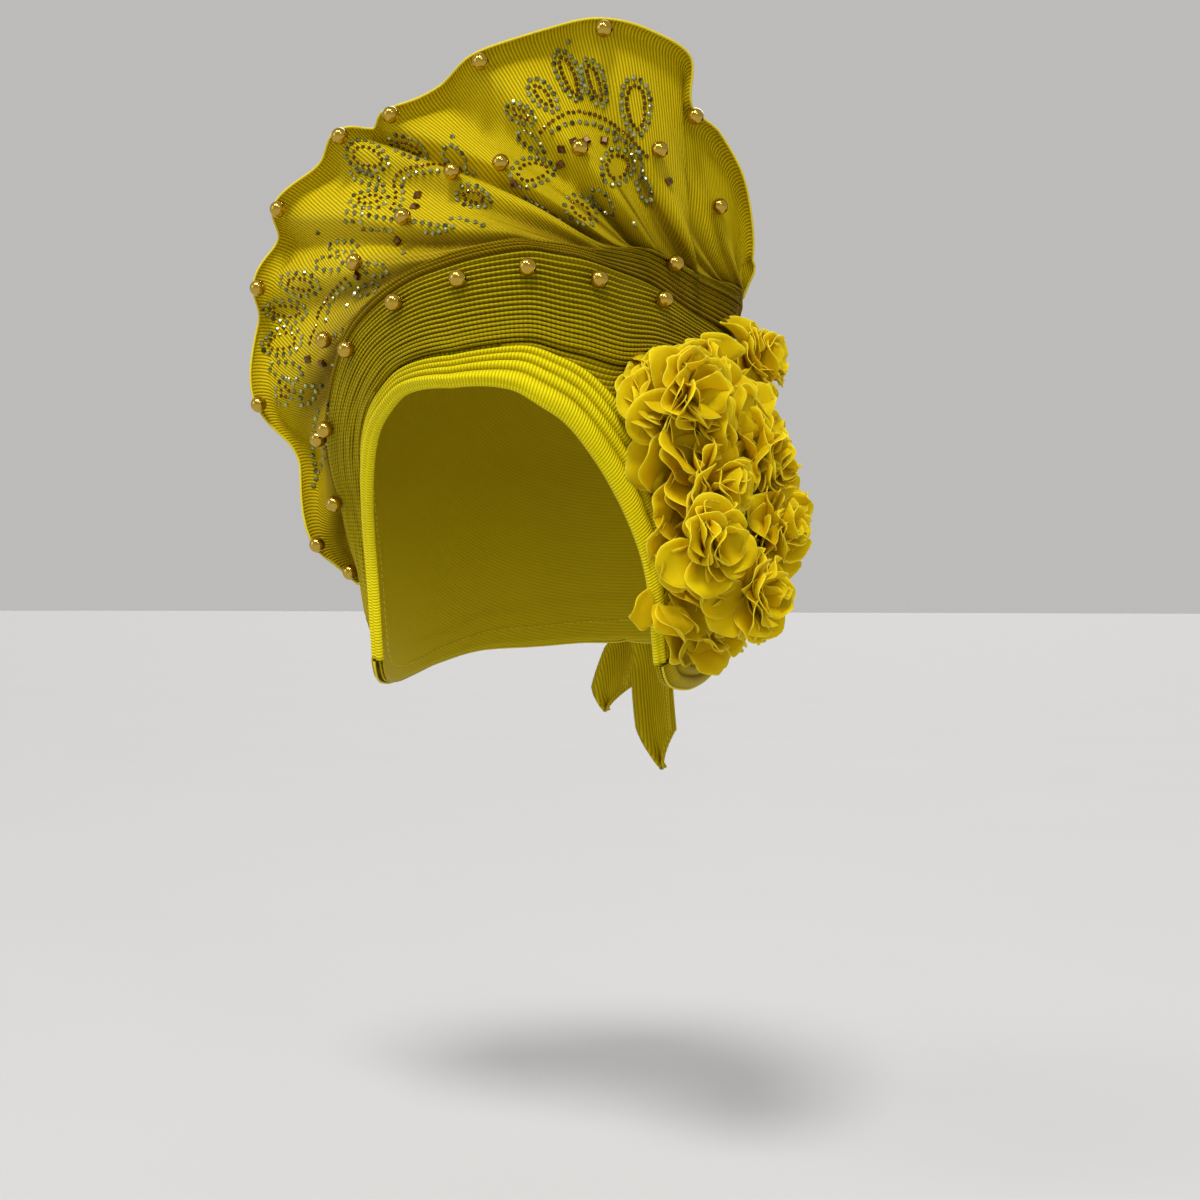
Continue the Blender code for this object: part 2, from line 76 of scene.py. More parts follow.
# Cloth and gaps, as in the solids
CLOTH = 0.0012
HEAD_EASE = 0.002
CAP_WALL = 0.0015
CAP_LIFT = HEAD_EASE + CAP_WALL
TOUCH_GAP = 0.0005
SEAM_GAP = 0.0012

# Main sizes, as in the solids
BAND_WIDTH = 0.026
BAND_ROLL = 0.0022
BAND_END = 117
BAND_WRAPS = 4
RING_WIDTH = 0.046
RING_PLEATS = 18
RING_FOLD = 0.0013
RING_BULGE = 0.003
RING_LEAVE = 0.080
RING_FOOT_GAP = 0.0022
FAN_WIDTH = 0.110
FAN_GAP = 0.0020
FAN_FOLD = 0.016
FAN_PEEL = 0.14
FAN_STACK = 0.0026
FAN_LIP = 0.011
NAPE_WIDTH = 0.030
NAPE_ROLL = 0.0020
NAPE_WRAPS = 4
BEAD_RADIUS = 0.004
FLOWER_RADIUS = 0.025
BASE_RISE = 0.020
BASE_LOW = 124
KNOT_WIDTH = 0.022
TAIL_WIDTH = 0.024
TAIL_LENGTH = 0.080

# Cloth detail
THIN = 0.0007
CURL_ROWS = 8
TUCK_COLUMNS = 4
TUCK = 0.007
TUCK_AT_GATHER = 0.016
FAN_RIB = 0.00175
BAND_RIB = 0.0015
RING_RIB = 0.0021
TIE_RIB = 0.0014
SIDE_PLEAT = 0.0028
RIB_DEPTH = 0.0004
CHIFFON = 0.00025
EDGE_CORD = 0.0006
THREAD_SPACING = 0.0005
HEM_STITCH = 0.0034
SEAM_STITCH = 0.0022

# Edge of the cap from the forehead round to the nape, both sides alike
RIM = [
    # around, down
    (0, 114),
    (17, 113),
    (26, 115),
    (35, 117),
    (48, 122),
    (62, 127),
    (76, 131),
    (89, 134),
    (101, 137),
    (113, 140),
    (122, 140),
    (128, 135),
    (133, 128),
    (139, 119),
    (148, 108),
    (157, 101),
    (169, 95),
    (180, 93),
]

# Width of the wraps round the face as a share of BAND_WIDTH
BAND = [
    # around, width
    (-120, 0.20),
    (-100, 0.35),
    (-80, 0.45),
    (-50, 0.42),
    (-20, 0.38),
    (0, 0.48),
    (10, 0.58),
    (22, 0.80),
    (35, 0.92),
    (60, 1.00),
    (80, 0.98),
    (100, 0.75),
    (120, 0.20),
]

# Ring sections: leave is a share of RING_LEAVE, and x, y and z are shares of RING_WIDTH
RING = [
    # around, leave, x, y, z
    (-114, 0.00, -0.30, 0.40, 0.60),
    (-91, 0.00, -0.35, 0.18, 0.10),
    (-73, 0.00, -0.40, 0.15, 0.02),
    (-54, 0.00, -0.55, 0.26, -0.04),
    (-38, 0.00, -0.63, 0.27, 0.02),
    (-24, 0.00, -0.59, 0.16, 0.34),
    (-14, 0.00, -0.45, 0.07, 0.55),
    (-4, 0.00, -0.26, 0.03, 0.74),
    (6, 0.00, -0.14, 0.01, 0.82),
    (17, 0.00, -0.05, 0.02, 0.87),
    (30, 0.03, -0.07, 0.05, 0.94),
    (42, 0.14, -0.10, 0.09, 0.95),
    (52, 0.36, -0.08, 0.12, 0.81),
    (67, 0.66, 0.00, 0.13, 0.60),
    (86, 1.00, 0.22, 0.23, 0.50),
]

# Fan sections from the free tip to the gather: x, y and z are shares of FAN_WIDTH
FAN = [
    # along, ring, x, y, z
    (0.000, 0.000, -0.07, -0.01, -0.02),
    (0.030, 0.035, -0.12, -0.03, -0.03),
    (0.062, 0.070, -0.18, -0.04, 0.00),
    (0.150, 0.160, -0.31, 0.02, 0.20),
    (0.187, 0.250, -0.44, 0.08, 0.20),
    (0.236, 0.310, -0.55, 0.16, 0.27),
    (0.287, 0.360, -0.63, 0.25, 0.35),
    (0.353, 0.450, -0.74, 0.30, 0.50),
    (0.433, 0.600, -0.86, 0.26, 0.64),
    (0.476, 0.700, -0.88, 0.13, 0.70),
    (0.523, 0.770, -0.78, -0.02, 0.84),
    (0.567, 0.810, -0.62, -0.11, 0.94),
    (0.625, 0.850, -0.38, -0.16, 1.06),
    (0.674, 0.870, -0.17, -0.17, 1.09),
    (0.718, 0.895, -0.01, -0.17, 1.08),
    (0.757, 0.930, 0.08, -0.17, 1.04),
    (0.804, 0.945, 0.01, -0.14, 0.87),
    (0.840, 0.965, 0.07, -0.10, 0.80),
    (0.889, 0.980, 0.14, -0.05, 0.62),
    (0.931, 0.990, 0.13, 0.00, 0.43),
    (0.981, 0.995, 0.07, 0.08, 0.20),
    (1.000, 1.000, 0.01, 0.11, 0.14),
]

# Crests of the fan: start along the outer edge, and depth as a share of FAN_FOLD
CREST = [
    # fold, along, depth
    (0, -0.140, 1.0),
    (1, 0.062, 0.8),
    (2, 0.187, 0.3),
    (3, 0.287, 0.5),
    (4, 0.353, 0.6),
    (5, 0.433, 0.5),
    (6, 0.476, 0.7),
    (7, 0.567, 0.6),
    (8, 0.674, 0.35),
    (9, 0.804, 0.25),
    (10, 0.950, 0.2),
]

# Flowers: direction from the head's centre in degrees, size and turn
FLOWERS = [
    # node, around, down, size, turn
    ("flower_1", 58, 97, 1.00, 10),
    ("flower_2", 104, 72, 1.00, 40),
    ("flower_3", 79, 114, 1.00, 20),
    ("flower_4", 120, 86, 1.00, 55),
    ("flower_5", 92, 92, 0.96, 5),
    ("flower_6", 87, 131, 0.96, 30),
    ("flower_7", 127, 109, 0.94, 60),
    ("flower_8", 106, 131, 0.92, 25),
    ("flower_9", 106, 110, 0.92, 70),
    ("flower_10", 86, 56, 0.90, 50),
]

# Rings of petals in a flower, from the outside in: open is the angle from the flower's axis in
# degrees, and length and width are shares of FLOWER_RADIUS
PETAL_RINGS = [
    # petals, open, length, width, curl
    (9, 88, 1.06, 0.94, 6),
    (8, 68, 1.00, 0.92, 8),
    (7, 48, 0.90, 0.84, 10),
    (6, 26, 0.78, 0.76, 12),
]

# Sharp creases that run from the gather into the fan: reach is how far from the gather they go
CREASES = [
    # fold, reach, depth
    (3.45, 0.60, 0.0020),
    (4.45, 0.70, 0.0026),
    (5.40, 0.75, 0.0030),
    (5.80, 0.55, 0.0022),
    (6.30, 0.85, 0.0044),
    (6.65, 0.60, 0.0024),
    (7.15, 0.90, 0.0046),
    (7.40, 0.60, 0.0024),
    (7.70, 0.80, 0.0048),
    (8.05, 0.70, 0.0026),
    (8.35, 0.95, 0.0054),
    (8.65, 0.70, 0.0028),
    (8.95, 0.85, 0.0050),
    (9.25, 0.60, 0.0028),
    (9.55, 0.75, 0.0042),
    (9.80, 0.60, 0.0022),
]

# Leaves of rhinestones, each an outer loop of clear stones round a loop of small brown ones. x and y
# are pixels of the photograph, long and wide are half sizes in pixels, turn is clockwise from upright.
LEAVES = [
    # x, y, long, wide, turn
    (569, 76, 27, 11, -22),
    (595, 83, 25, 10, -20),
    (543, 96, 20, 10, -40),
    (636, 107, 29, 14, -4),
    (521, 114, 16, 9, -58),
    (531, 142, 16, 6, -54),
    (533, 172, 22, 14, -100),
    (617, 167, 19, 16, 28),
    (645, 190, 14, 6, -20),
    (581, 211, 19, 11, -48),
    (603, 202, 16, 7, -40),
    (368, 157, 22, 14, -70),
    (409, 148, 21, 9, -64),
    (455, 157, 14, 8, -48),
    (474, 197, 17, 11, -76),
    (368, 179, 17, 5, -70),
    (369, 200, 19, 9, 84),
    (343, 247, 15, 6, 90),
    (329, 264, 14, 7, 86),
    (300, 284, 20, 11, 100),
    (285, 311, 22, 11, 96),
    (282, 342, 21, 13, 76),
    (286, 370, 17, 8, 104),
    (285, 392, 13, 9, 10),
    (308, 395, 11, 7, 30),
    (375, 269, 13, 6, 104),
    (367, 290, 13, 5, 70),
]

# Bowed rows of rhinestones through three pixels of the photograph
ROWS = [
    # start, middle, end, brown
    ((541, 132), (589, 113), (647, 156), True),
    ((552, 132), (592, 124), (637, 151), False),
    ((394, 186), (409, 168), (456, 166), True),
    ((402, 186), (418, 173), (474, 173), False),
    ((396, 193), (395, 201), (391, 209), True),
    ((403, 193), (402, 203), (396, 212), False),
    ((347, 212), (392, 219), (453, 227), False),
    ((346, 221), (353, 221), (361, 221), False),
    ((364, 229), (380, 229), (392, 231), False),
    ((427, 232), (437, 232), (446, 230), False),
    ((451, 219), (467, 221), (483, 226), False),
    ((345, 279), (327, 299), (318, 318), True),
    ((350, 284), (334, 298), (327, 320), False),
    ((317, 326), (313, 334), (310, 343), True),
    ((328, 405), (327, 442), (314, 486), False),
    ((318, 411), (313, 440), (316, 471), False),
    ((525, 199), (543, 208), (560, 220), False),
    ((640, 152), (642, 166), (644, 178), False),
]

# Single rhinestones and square brown stones, in pixels of the photograph
SINGLES = [
    (569, 42), (615, 140), (635, 224), (318, 233), (366, 307), (343, 330), (336, 335), (334, 365),
    (404, 254), (483, 226), (453, 137), (347, 306), (322, 385),
]
SQUARES = [
    (562, 149), (574, 142), (586, 141), (604, 141), (561, 164), (668, 182), (515, 183), (418, 196),
    (415, 208), (398, 240), (358, 275), (309, 359), (323, 363),
]
STONE_STEP = 7.4
SMALL_STEP = 5.6
STONE_RADIUS = 0.0013
SMALL_RADIUS = 0.0010
SQUARE_HALF = 0.0026

# Colours, linear
# The band, fan, ring and tie are one cloth: the band's colours are it as lit from above, and the darker
# fan, ring and tie colours are painted shade, deepest on the ring recessed under the fan
GELE_LIGHT = (0.86, 0.73, 0.004)
GELE_DARK = (0.28, 0.20, 0.001)
FAN_SHADED_LIGHT = (0.68, 0.52, 0.003)
FAN_SHADED_DARK = (0.18, 0.102, 0.001)
RING_SHADED_LIGHT = (0.42, 0.325, 0.002)
RING_SHADED_DARK = (0.10, 0.068, 0.001)
TIE_SHADED_LIGHT = (0.58, 0.44, 0.003)
TIE_SHADED_DARK = (0.17, 0.115, 0.001)
LINING = (0.52, 0.41, 0.006)
LINING_DARK = (0.42, 0.32, 0.004)
CHIFFON_BODY = (0.78, 0.56, 0.004)
CHIFFON_DEEP = (0.62, 0.37, 0.002)
CHIFFON_EDGE = (0.86, 0.67, 0.03)
NET_THREAD = (0.66, 0.54, 0.01)
NET_HOLE = (0.26, 0.17, 0.002)
# The gold is darker than the beads' pale plating, painted to stand in for the dark surroundings they
# reflect
GOLD = (0.46, 0.29, 0.03)
GOLD_WORN = (0.60, 0.41, 0.07)
# Clear stones: grey glass, with a yellow-green tint that is painted reflection of the yellow cloth round
# them
CRYSTAL = (0.40, 0.42, 0.16)
CRYSTAL_DARK = (0.05, 0.05, 0.015)
TOPAZ = (0.07, 0.026, 0.002)
TOPAZ_LIGHT = (0.20, 0.082, 0.006)
THREAD = (0.84, 0.72, 0.05)
THREAD_DEEP = (0.56, 0.42, 0.01)
SHINE = (1.0, 0.82, 0.08, 1)
PALE = (0.54, 0.535, 0.53)
PALE_SPOT = (0.52, 0.515, 0.51)


def unit(v):
    return v / np.linalg.norm(v, axis=-1, keepdims=True)


def between(table, key, column):
    """Values of a table's column at keys, on a smooth curve through the rows."""
    keys = np.array([row[0] for row in table], float)
    values = np.array([row[column] for row in table], float)
    slopes = np.empty(len(keys))
    slopes[1:-1] = (values[2:] - values[:-2]) / (keys[2:] - keys[:-2])
    slopes[0] = (values[1] - values[0]) / (keys[1] - keys[0])
    slopes[-1] = (values[-1] - values[-2]) / (keys[-1] - keys[-2])
    key = np.clip(key, keys[0], keys[-1])
    i = np.clip(np.searchsorted(keys[1:], key, side="left"), 0, len(keys) - 2)
    span = keys[i + 1] - keys[i]
    t = (key - keys[i]) / span
    return (
        (2 * t ** 3 - 3 * t ** 2 + 1) * values[i]
        + (t ** 3 - 2 * t ** 2 + t) * slopes[i] * span
        + (3 * t ** 2 - 2 * t ** 3) * values[i + 1]
        + (t ** 3 - t ** 2) * slopes[i + 1] * span
    )


def head_direction(around, down):
    around, down = np.radians(around)[..., None], np.radians(down)[..., None]
    flat = np.cos(around) * FACE_AXIS + np.sin(around) * SIDE_AXIS
    return np.cos(down) * TOP_AXIS + np.sin(down) * flat


def head_normal(p):
    return unit(p / np.where(p[..., 2:] > 0, HEAD_ABOVE, HEAD_BELOW) ** 2)


def head_point(around, down, lift=0.0):
    """Points on the head form, raised by lift along its normal."""
    around, down, lift = np.broadcast_arrays(np.asarray(around, float), down, lift)
    d = head_direction(around, down)
    axes = np.where(d[..., 2:] > 0, HEAD_ABOVE, HEAD_BELOW)
    p = d / np.linalg.norm(d / axes, axis=-1, keepdims=True)
    return p + unit(p / axes ** 2) * lift[..., None]


def climb(around, down, distance):
    """Angle from the axis after going up the head by a distance."""
    steps = 8
    for _ in range(steps):
        reach = head_point(around, down - 0.5) - head_point(around, down + 0.5)
        down = down - distance / steps / np.linalg.norm(reach, axis=-1)
    return down


def rim(around):
    return between(RIM, np.abs((np.asarray(around) + 180) % 360 - 180), 1)


def band_top(around):
    return climb(around, rim(around), BAND_WIDTH * between(BAND, around, 1))


def ring_foot_down(around):
    leave = np.maximum(between(RING, around, 1), 0)
    return climb(around, band_top(around), RING_FOOT_GAP + RING_LEAVE * leave)


def ring_section(t):
    """Foot and outer edge of the ring at shares of its length."""
    row = t * (len(RING) - 1)
    table = [(i, *values) for i, values in enumerate(RING)]
    around, x, y, z = (between(table, row, column) for column in (1, 3, 4, 5))
    foot = head_point(around, ring_foot_down(around), CAP_LIFT + SEAM_GAP)
    return foot, foot + RING_WIDTH * np.stack((x, y, z), -1)


def ring_point(t, v):
    foot, outer = ring_section(t)
    bulge = RING_BULGE * np.sin(np.pi * v)[..., None]
    return foot + (outer - foot) * v[..., None] + head_normal(foot) * bulge


def ring_front(t):
    """Direction that the ring faces, towards the front."""
    step = 0.02
    v = np.full_like(t, 0.6)
    along = ring_point(np.minimum(t + step, 1), v) - ring_point(np.maximum(t - step, 0), v)
    foot, outer = ring_section(t)
    return unit(np.cross(along, outer - foot))


def fan_section(s):
    """Start on the ring's outer edge and outer edge of the fan at shares of its length."""
    q, x, y, z = (between(FAN, s, column) for column in range(1, 5))
    start = ring_point(np.clip(q, 0, 1), np.ones_like(q))
    return start, start + FAN_WIDTH * np.stack((x, y, z), -1)


def fan_front(s):
    """Direction that the fan faces, towards the front."""
    step = 0.10
    low_start, low_edge = fan_section(np.maximum(s - step, 0))
    high_start, high_edge = fan_section(np.minimum(s + step, 1))
    start, edge = fan_section(np.maximum(s, 0.06))
    return unit(np.cross(high_start + high_edge - low_start - low_edge, edge - start))


def lip_reach(s):
    """Across and front directions of the turned edge, and its reach."""
    start, edge = fan_section(s)
    long = np.linalg.norm(edge - start, axis=-1, keepdims=True)
    return (edge - start) / long, fan_front(s), np.minimum(FAN_LIP, 0.4 * long)


def fan_lip(s):
    across, front, reach = lip_reach(s)
    return (across * 0.45 + front * 0.70) * reach


def lip_curl(turn):
    """How far out and how far forward the turned edge goes, as shares of its reach."""
    return 0.45 * (1 - (1 - turn) ** 2) + 0.10 * turn * (1 - turn), 0.70 * turn ** 1.7


def fan_share_to_along(first, share):
    """Share of the outer edge's length at a share of the way to the gather."""
    s = np.linspace(0, 1, 2001)
    progress = (s + between(FAN, s, 1)) / 2
    start = np.interp(first, s, progress)
    return np.interp(start + (1 - start) * share, progress, s)


def fan_distance(fold, s, width):
    """Distance from the ring to a fold of the fan."""
    stack = np.minimum(FAN_STACK, width / 10) * fold
    peel = np.clip((s - between(CREST, fold, 1)) / FAN_PEEL, 0, 1)
    return stack + (width - stack) * (1 - peel) ** 2


def fold_wave(fold):
    """Height from -1 to 1 of the fan's surface: crests at whole folds, valleys two thirds on."""
    phase = fold - np.floor(fold)
    rise = np.cos(np.pi * phase / 0.62)
    return np.where(phase < 0.62, rise, -np.cos(np.pi * (phase - 0.62) / 0.38))


def fan_point(fold, share, lift=0.0):
    """Points on the fan along folds, share 0 at the outer edge and 1 at the gather."""
    s = fan_share_to_along(np.maximum(between(CREST, fold, 1), 0), share)
    start, edge = fan_section(s)
    flat = edge - fan_lip(s) - start
    width = np.linalg.norm(flat, axis=-1)
    distance = fan_distance(fold, s, width)
    near = fan_distance(np.maximum(fold - 0.5, 0), s, width)
    far = fan_distance(np.minimum(fold + 0.5, 10), s, width)
    room = 0.45 * np.maximum(far - near - 1.2 * FAN_STACK, 0)
    depth = np.minimum(room, FAN_FOLD * between(CREST, fold, 2))
    across = flat / width[..., None]
    drop = depth * (fold_wave(fold) - 1) / 2 + lift
    p = start + across * (FAN_GAP + distance)[..., None] + fan_front(s) * drop[..., None]
    return p, s, distance


def wander(a, b, seed, waves=5):
    """Smooth wavering from -1 to 1 over two coordinates, the same each run."""
    draw = random.Random(seed)
    total = np.zeros(np.broadcast(a, b).shape)
    for _ in range(waves):
        f, g, h = draw.uniform(0.5, 3.0), draw.uniform(-1.5, 1.5), draw.uniform(0, math.tau)
        total += np.sin(math.tau * (f * a + g * b) + h)
    return total / waves


def arc_length(points, axis):
    """Distance travelled along one axis of a grid of points."""
    steps = np.linalg.norm(np.diff(points, axis=axis), axis=-1)
    pad = [(0, 0), (0, 0)]
    pad[axis] = (1, 0)
    return np.cumsum(np.pad(steps, pad), axis=axis)


def grid_object(name, points, weave, thick=THIN, wrap=False, facing=None):
    """Sheet of cloth over a grid of points, with the weave's metres as its UV map.

    Its faces look away from the head's centre, or along facing, and its thickness lies behind them.
    """
    rows, columns = points.shape[:2]
    index = np.arange(rows * columns).reshape(rows, columns)
    right = np.roll(index, -1, axis=1) if wrap else index[:, 1:]
    left = index if wrap else index[:, :-1]
    quads = np.stack((left[:-1], right[:-1], right[1:], left[1:]), -1).reshape(-1, 4)
    i, j = rows // 2, columns // 2
    normal = np.cross(points[i, j + 1] - points[i, j - 1], points[i + 1, j] - points[i - 1, j])
    if normal @ (points[i, j] if facing is None else np.array(facing)) < 0:
        quads = quads[:, ::-1]
    mesh = bpy.data.meshes.new(name)
    mesh.from_pydata(points.reshape(-1, 3).tolist(), [], quads.tolist())
    set_weave(mesh, weave)
    mesh.shade_smooth()
    obj = linked(name, mesh)
    if thick:
        give_thickness(obj, thick, -1)
    return obj


def linked(name, data):
    """Object of a mesh or curve, in the scene."""
    obj = bpy.data.objects.new(name, data)
    bpy.context.scene.collection.objects.link(obj)
    return obj


def set_weave(mesh, weave):
    """UV map of the weave's metres, from one pair for each vertex."""
    layer = mesh.uv_layers.new(name="weave")
    corner = np.empty(len(mesh.loops), int)
    mesh.loops.foreach_get("vertex_index", corner)
    layer.data.foreach_set("uv", weave.reshape(-1, 2)[corner].astype(np.float32).ravel())


def give_thickness(obj, thick, offset):
    shell = obj.modifiers.new("cloth", "SOLIDIFY")
    shell.thickness = thick
    shell.offset = offset


def object_from(name, bm, smooth=True):
    """Object of a bmesh, which is freed."""
    mesh = bpy.data.meshes.new(name)
    bm.to_mesh(mesh)
    bm.free()
    if smooth:
        mesh.shade_smooth()
    return linked(name, mesh)


def finish_piece(obj, material):
    obj.data.materials.append(material)
    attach(obj, "root")
    return obj


def add(tree, kind, inputs=None, **settings):
    """A shader node's first output, with its inputs linked or set."""
    made = tree.nodes.new("ShaderNode" + kind)
    for key, value in settings.items():
        setattr(made, key, value)
    for key, value in (inputs or {}).items():
        if isinstance(value, bpy.types.NodeSocket):
            tree.links.new(value, made.inputs[key])
        else:
            made.inputs[key].default_value = value
    return made.outputs[0]


def maths(tree, operation, a, b=0.0):
    return add(tree, "Math", {0: a, 1: b}, operation=operation)


def scaled(tree, value, factor, plus):
    return maths(tree, "ADD", plus, maths(tree, "MULTIPLY", value, factor))


def link(tree, shader, **outputs):
    """Outputs linked to the shader's inputs that the keywords name."""
    for key, output in outputs.items():
        tree.links.new(output, shader.inputs[key.replace("_", " ")])


def bump(tree, height, strength, distance):
    return add(tree, "Bump", {"Height": height, "Strength": strength, "Distance": distance})


def new_material(name, roughness, **constants):
    """Principled material, with constants set on its own sockets."""
    material = bpy.data.materials.new(name)
    material.use_nodes = True
    shader = material.node_tree.nodes["Principled BSDF"]
    shader.inputs["Roughness"].default_value = roughness
    for key, value in constants.items():
        shader.inputs[key.replace("_", " ")].default_value = value
    return material, material.node_tree, shader


def weave_axes(tree):
    uv = tree.nodes.new("ShaderNodeUVMap")
    uv.uv_map = "weave"
    split = tree.nodes.new("ShaderNodeSeparateXYZ")
    tree.links.new(uv.outputs[0], split.inputs[0])
    return split.outputs[0], split.outputs[1]


def mix(tree, share, one, two):
    """Mix of two colours, each a triple or an output."""
    one, two = (c if isinstance(c, bpy.types.NodeSocket) else (*c, 1) for c in (one, two))
    return add(tree, "MixRGB", {"Fac": share, "Color1": one, "Color2": two})


def blotches(tree, scale, detail=3.0):
    place = tree.nodes.new("ShaderNodeTexCoord").outputs["Object"]
    return add(tree, "TexNoise", {"Vector": place, "Scale": scale, "Detail": detail})


def cords(tree, along, spacing):
    """Rounded cords with sharp grooves, from 0 to 1."""
    return maths(tree, "ABSOLUTE", maths(tree, "SINE", maths(tree, "MULTIPLY", along, math.pi / spacing)))


def cloth_material(name, spacing, light, dark, depth=RIB_DEPTH, fold=0, ribs=1, painted_shade_reach=0):
    """Ribbed cloth: cords across the weave's first axis, threads across its second.

    The grooves between the cords take the dark colour as painted shade. Pleats fold apart along the
    second axis get painted shade where they meet. Ribs is how strongly the cords show, and the last
    argument is how far from the gathered edge the cloth gets painted shade.
    """
    material, tree, shader = new_material(name, 0.50, Specular_IOR_Level=0.30, Specular_Tint=SHINE)
    x, y = weave_axes(tree)
    rib = cords(tree, scaled(tree, blotches(tree, 40.0), spacing * 0.5, x), spacing)
    thread = cords(tree, y, THREAD_SPACING)
    grain = blotches(tree, 900.0, 2.0)
    # The cords' grooves get the dark colour as painted shade; the blotches below vary the cloth's tone at
    # random
    shade = scaled(tree, maths(tree, "POWER", rib, 0.6), ribs, 1 - ribs)
    shade = maths(tree, "MULTIPLY", shade, scaled(tree, blotches(tree, 22.0), 0.5, 0.72))
    # Painted shade near the gathered edge, where the second axis's distance is small
    if painted_shade_reach:
        near = add(tree, "MapRange", {"Value": y, "From Max": painted_shade_reach, "To Min": 0.25, "To Max": 1.0})
        shade = maths(tree, "MULTIPLY", shade, near)
    # Painted shade in the valleys where the pleats or wraps meet
    if fold:
        crown = scaled(tree, maths(tree, "POWER", cords(tree, y, fold), 0.5), 0.85, 0.15)
        shade = maths(tree, "MULTIPLY", shade, crown)
    height = scaled(tree, grain, 0.25, scaled(tree, thread, 0.15, rib))
    link(
        tree, shader, Base_Color=mix(tree, shade, dark, light),
        Roughness=scaled(tree, grain, 0.22, 0.40), Normal=bump(tree, height, 1.0, depth),
    )
    return material


def chiffon_material():
    """Thin translucent petals with paler cut edges."""
    material, tree, shader = new_material(
        "chiffon", 0.70, Subsurface_Weight=0.40, Subsurface_Scale=0.003,
        Specular_IOR_Level=0.25, Specular_Tint=SHINE,
    )
    shader.inputs["Subsurface Radius"].default_value = (1.0, 0.7, 0.1)
    out = weave_axes(tree)[1]
    edge = add(tree, "MapRange", {"Value": out, "From Min": 0.92, "From Max": 1.0})
    patch = blotches(tree, 70.0)
    body = mix(tree, patch, CHIFFON_DEEP, CHIFFON_BODY)
    colour = mix(tree, edge, body, CHIFFON_EDGE)
    crepe = blotches(tree, 1500.0, 2.0)
    link(tree, shader, Base_Color=colour, Normal=bump(tree, crepe, 0.5, 0.0001))
    return material


def net_material():
    """Fine net: diamond cells between raised threads."""
    material, tree, shader = new_material("net", 0.70, Specular_IOR_Level=0.25)
    x, y = weave_axes(tree)
    one = cords(tree, maths(tree, "ADD", x, y), 0.0016)
    two = cords(tree, maths(tree, "SUBTRACT", x, y), 0.0016)
    cell = maths(tree, "MINIMUM", one, two)
    thread = add(tree, "MapRange", {"Value": cell, "From Min": 0.55, "From Max": 0.25})
    colour = mix(tree, thread, NET_HOLE, NET_THREAD)
    link(tree, shader, Base_Color=colour, Normal=bump(tree, thread, 1.0, 0.0003))
    return material


def gold_material():
    """Mirror-polished plating with faint handling marks."""
    material, tree, shader = new_material("gold", 0.06, Metallic=1.0)
    # The colours are darker than pale gold, as painted reflection of dark surroundings
    mark = blotches(tree, 500.0)
    colour = mix(tree, mark, GOLD, GOLD_WORN)
    link(tree, shader, Base_Color=colour, Roughness=scaled(tree, mark, 0.07, 0.03))
    return material


def stone_material(name, colour, other):
    """Foil-backed cut glass, each stone a little different."""
    material, tree, shader = new_material(
        name, 0.05, Metallic=0.65, Coat_Weight=0.30, Coat_Roughness=0.03
    )
    spot = blotches(tree, 260.0, 1.0)
    spot = add(tree, "MapRange", {"Value": spot, "From Min": 0.35, "From Max": 0.65})
    link(tree, shader, Base_Color=mix(tree, spot, colour, other))
    return material


def thread_material():
    """Twisted sewing thread."""
    material, tree, shader = new_material("thread", 0.55, Specular_IOR_Level=0.35, Specular_Tint=SHINE)
    fuzz = blotches(tree, 1200.0)
    colour = mix(tree, fuzz, THREAD_DEEP, THREAD)
    link(tree, shader, Base_Color=colour, Normal=bump(tree, fuzz, 0.6, 0.0002))
    return material


def cord_object(name, points, radius, material, closed=False):
    """Thin round cord along a line of points."""
    curve = bpy.data.curves.new(name, "CURVE")
    curve.dimensions = "3D"
    curve.bevel_depth = radius
    curve.bevel_resolution = 1
    curve.use_fill_caps = True
    spline = curve.splines.new("POLY")
    spline.points.add(len(points) - 1)
    spline.points.foreach_set("co", np.c_[points, np.ones(len(points))].ravel())
    spline.use_cyclic_u = closed
    return finish_piece(linked(name, curve), material)


def cusps(phase, sharp=0.55):
    """Rounded folds that meet in sharp valleys at whole phases."""
    return np.abs(np.sin(np.pi * phase)) ** sharp


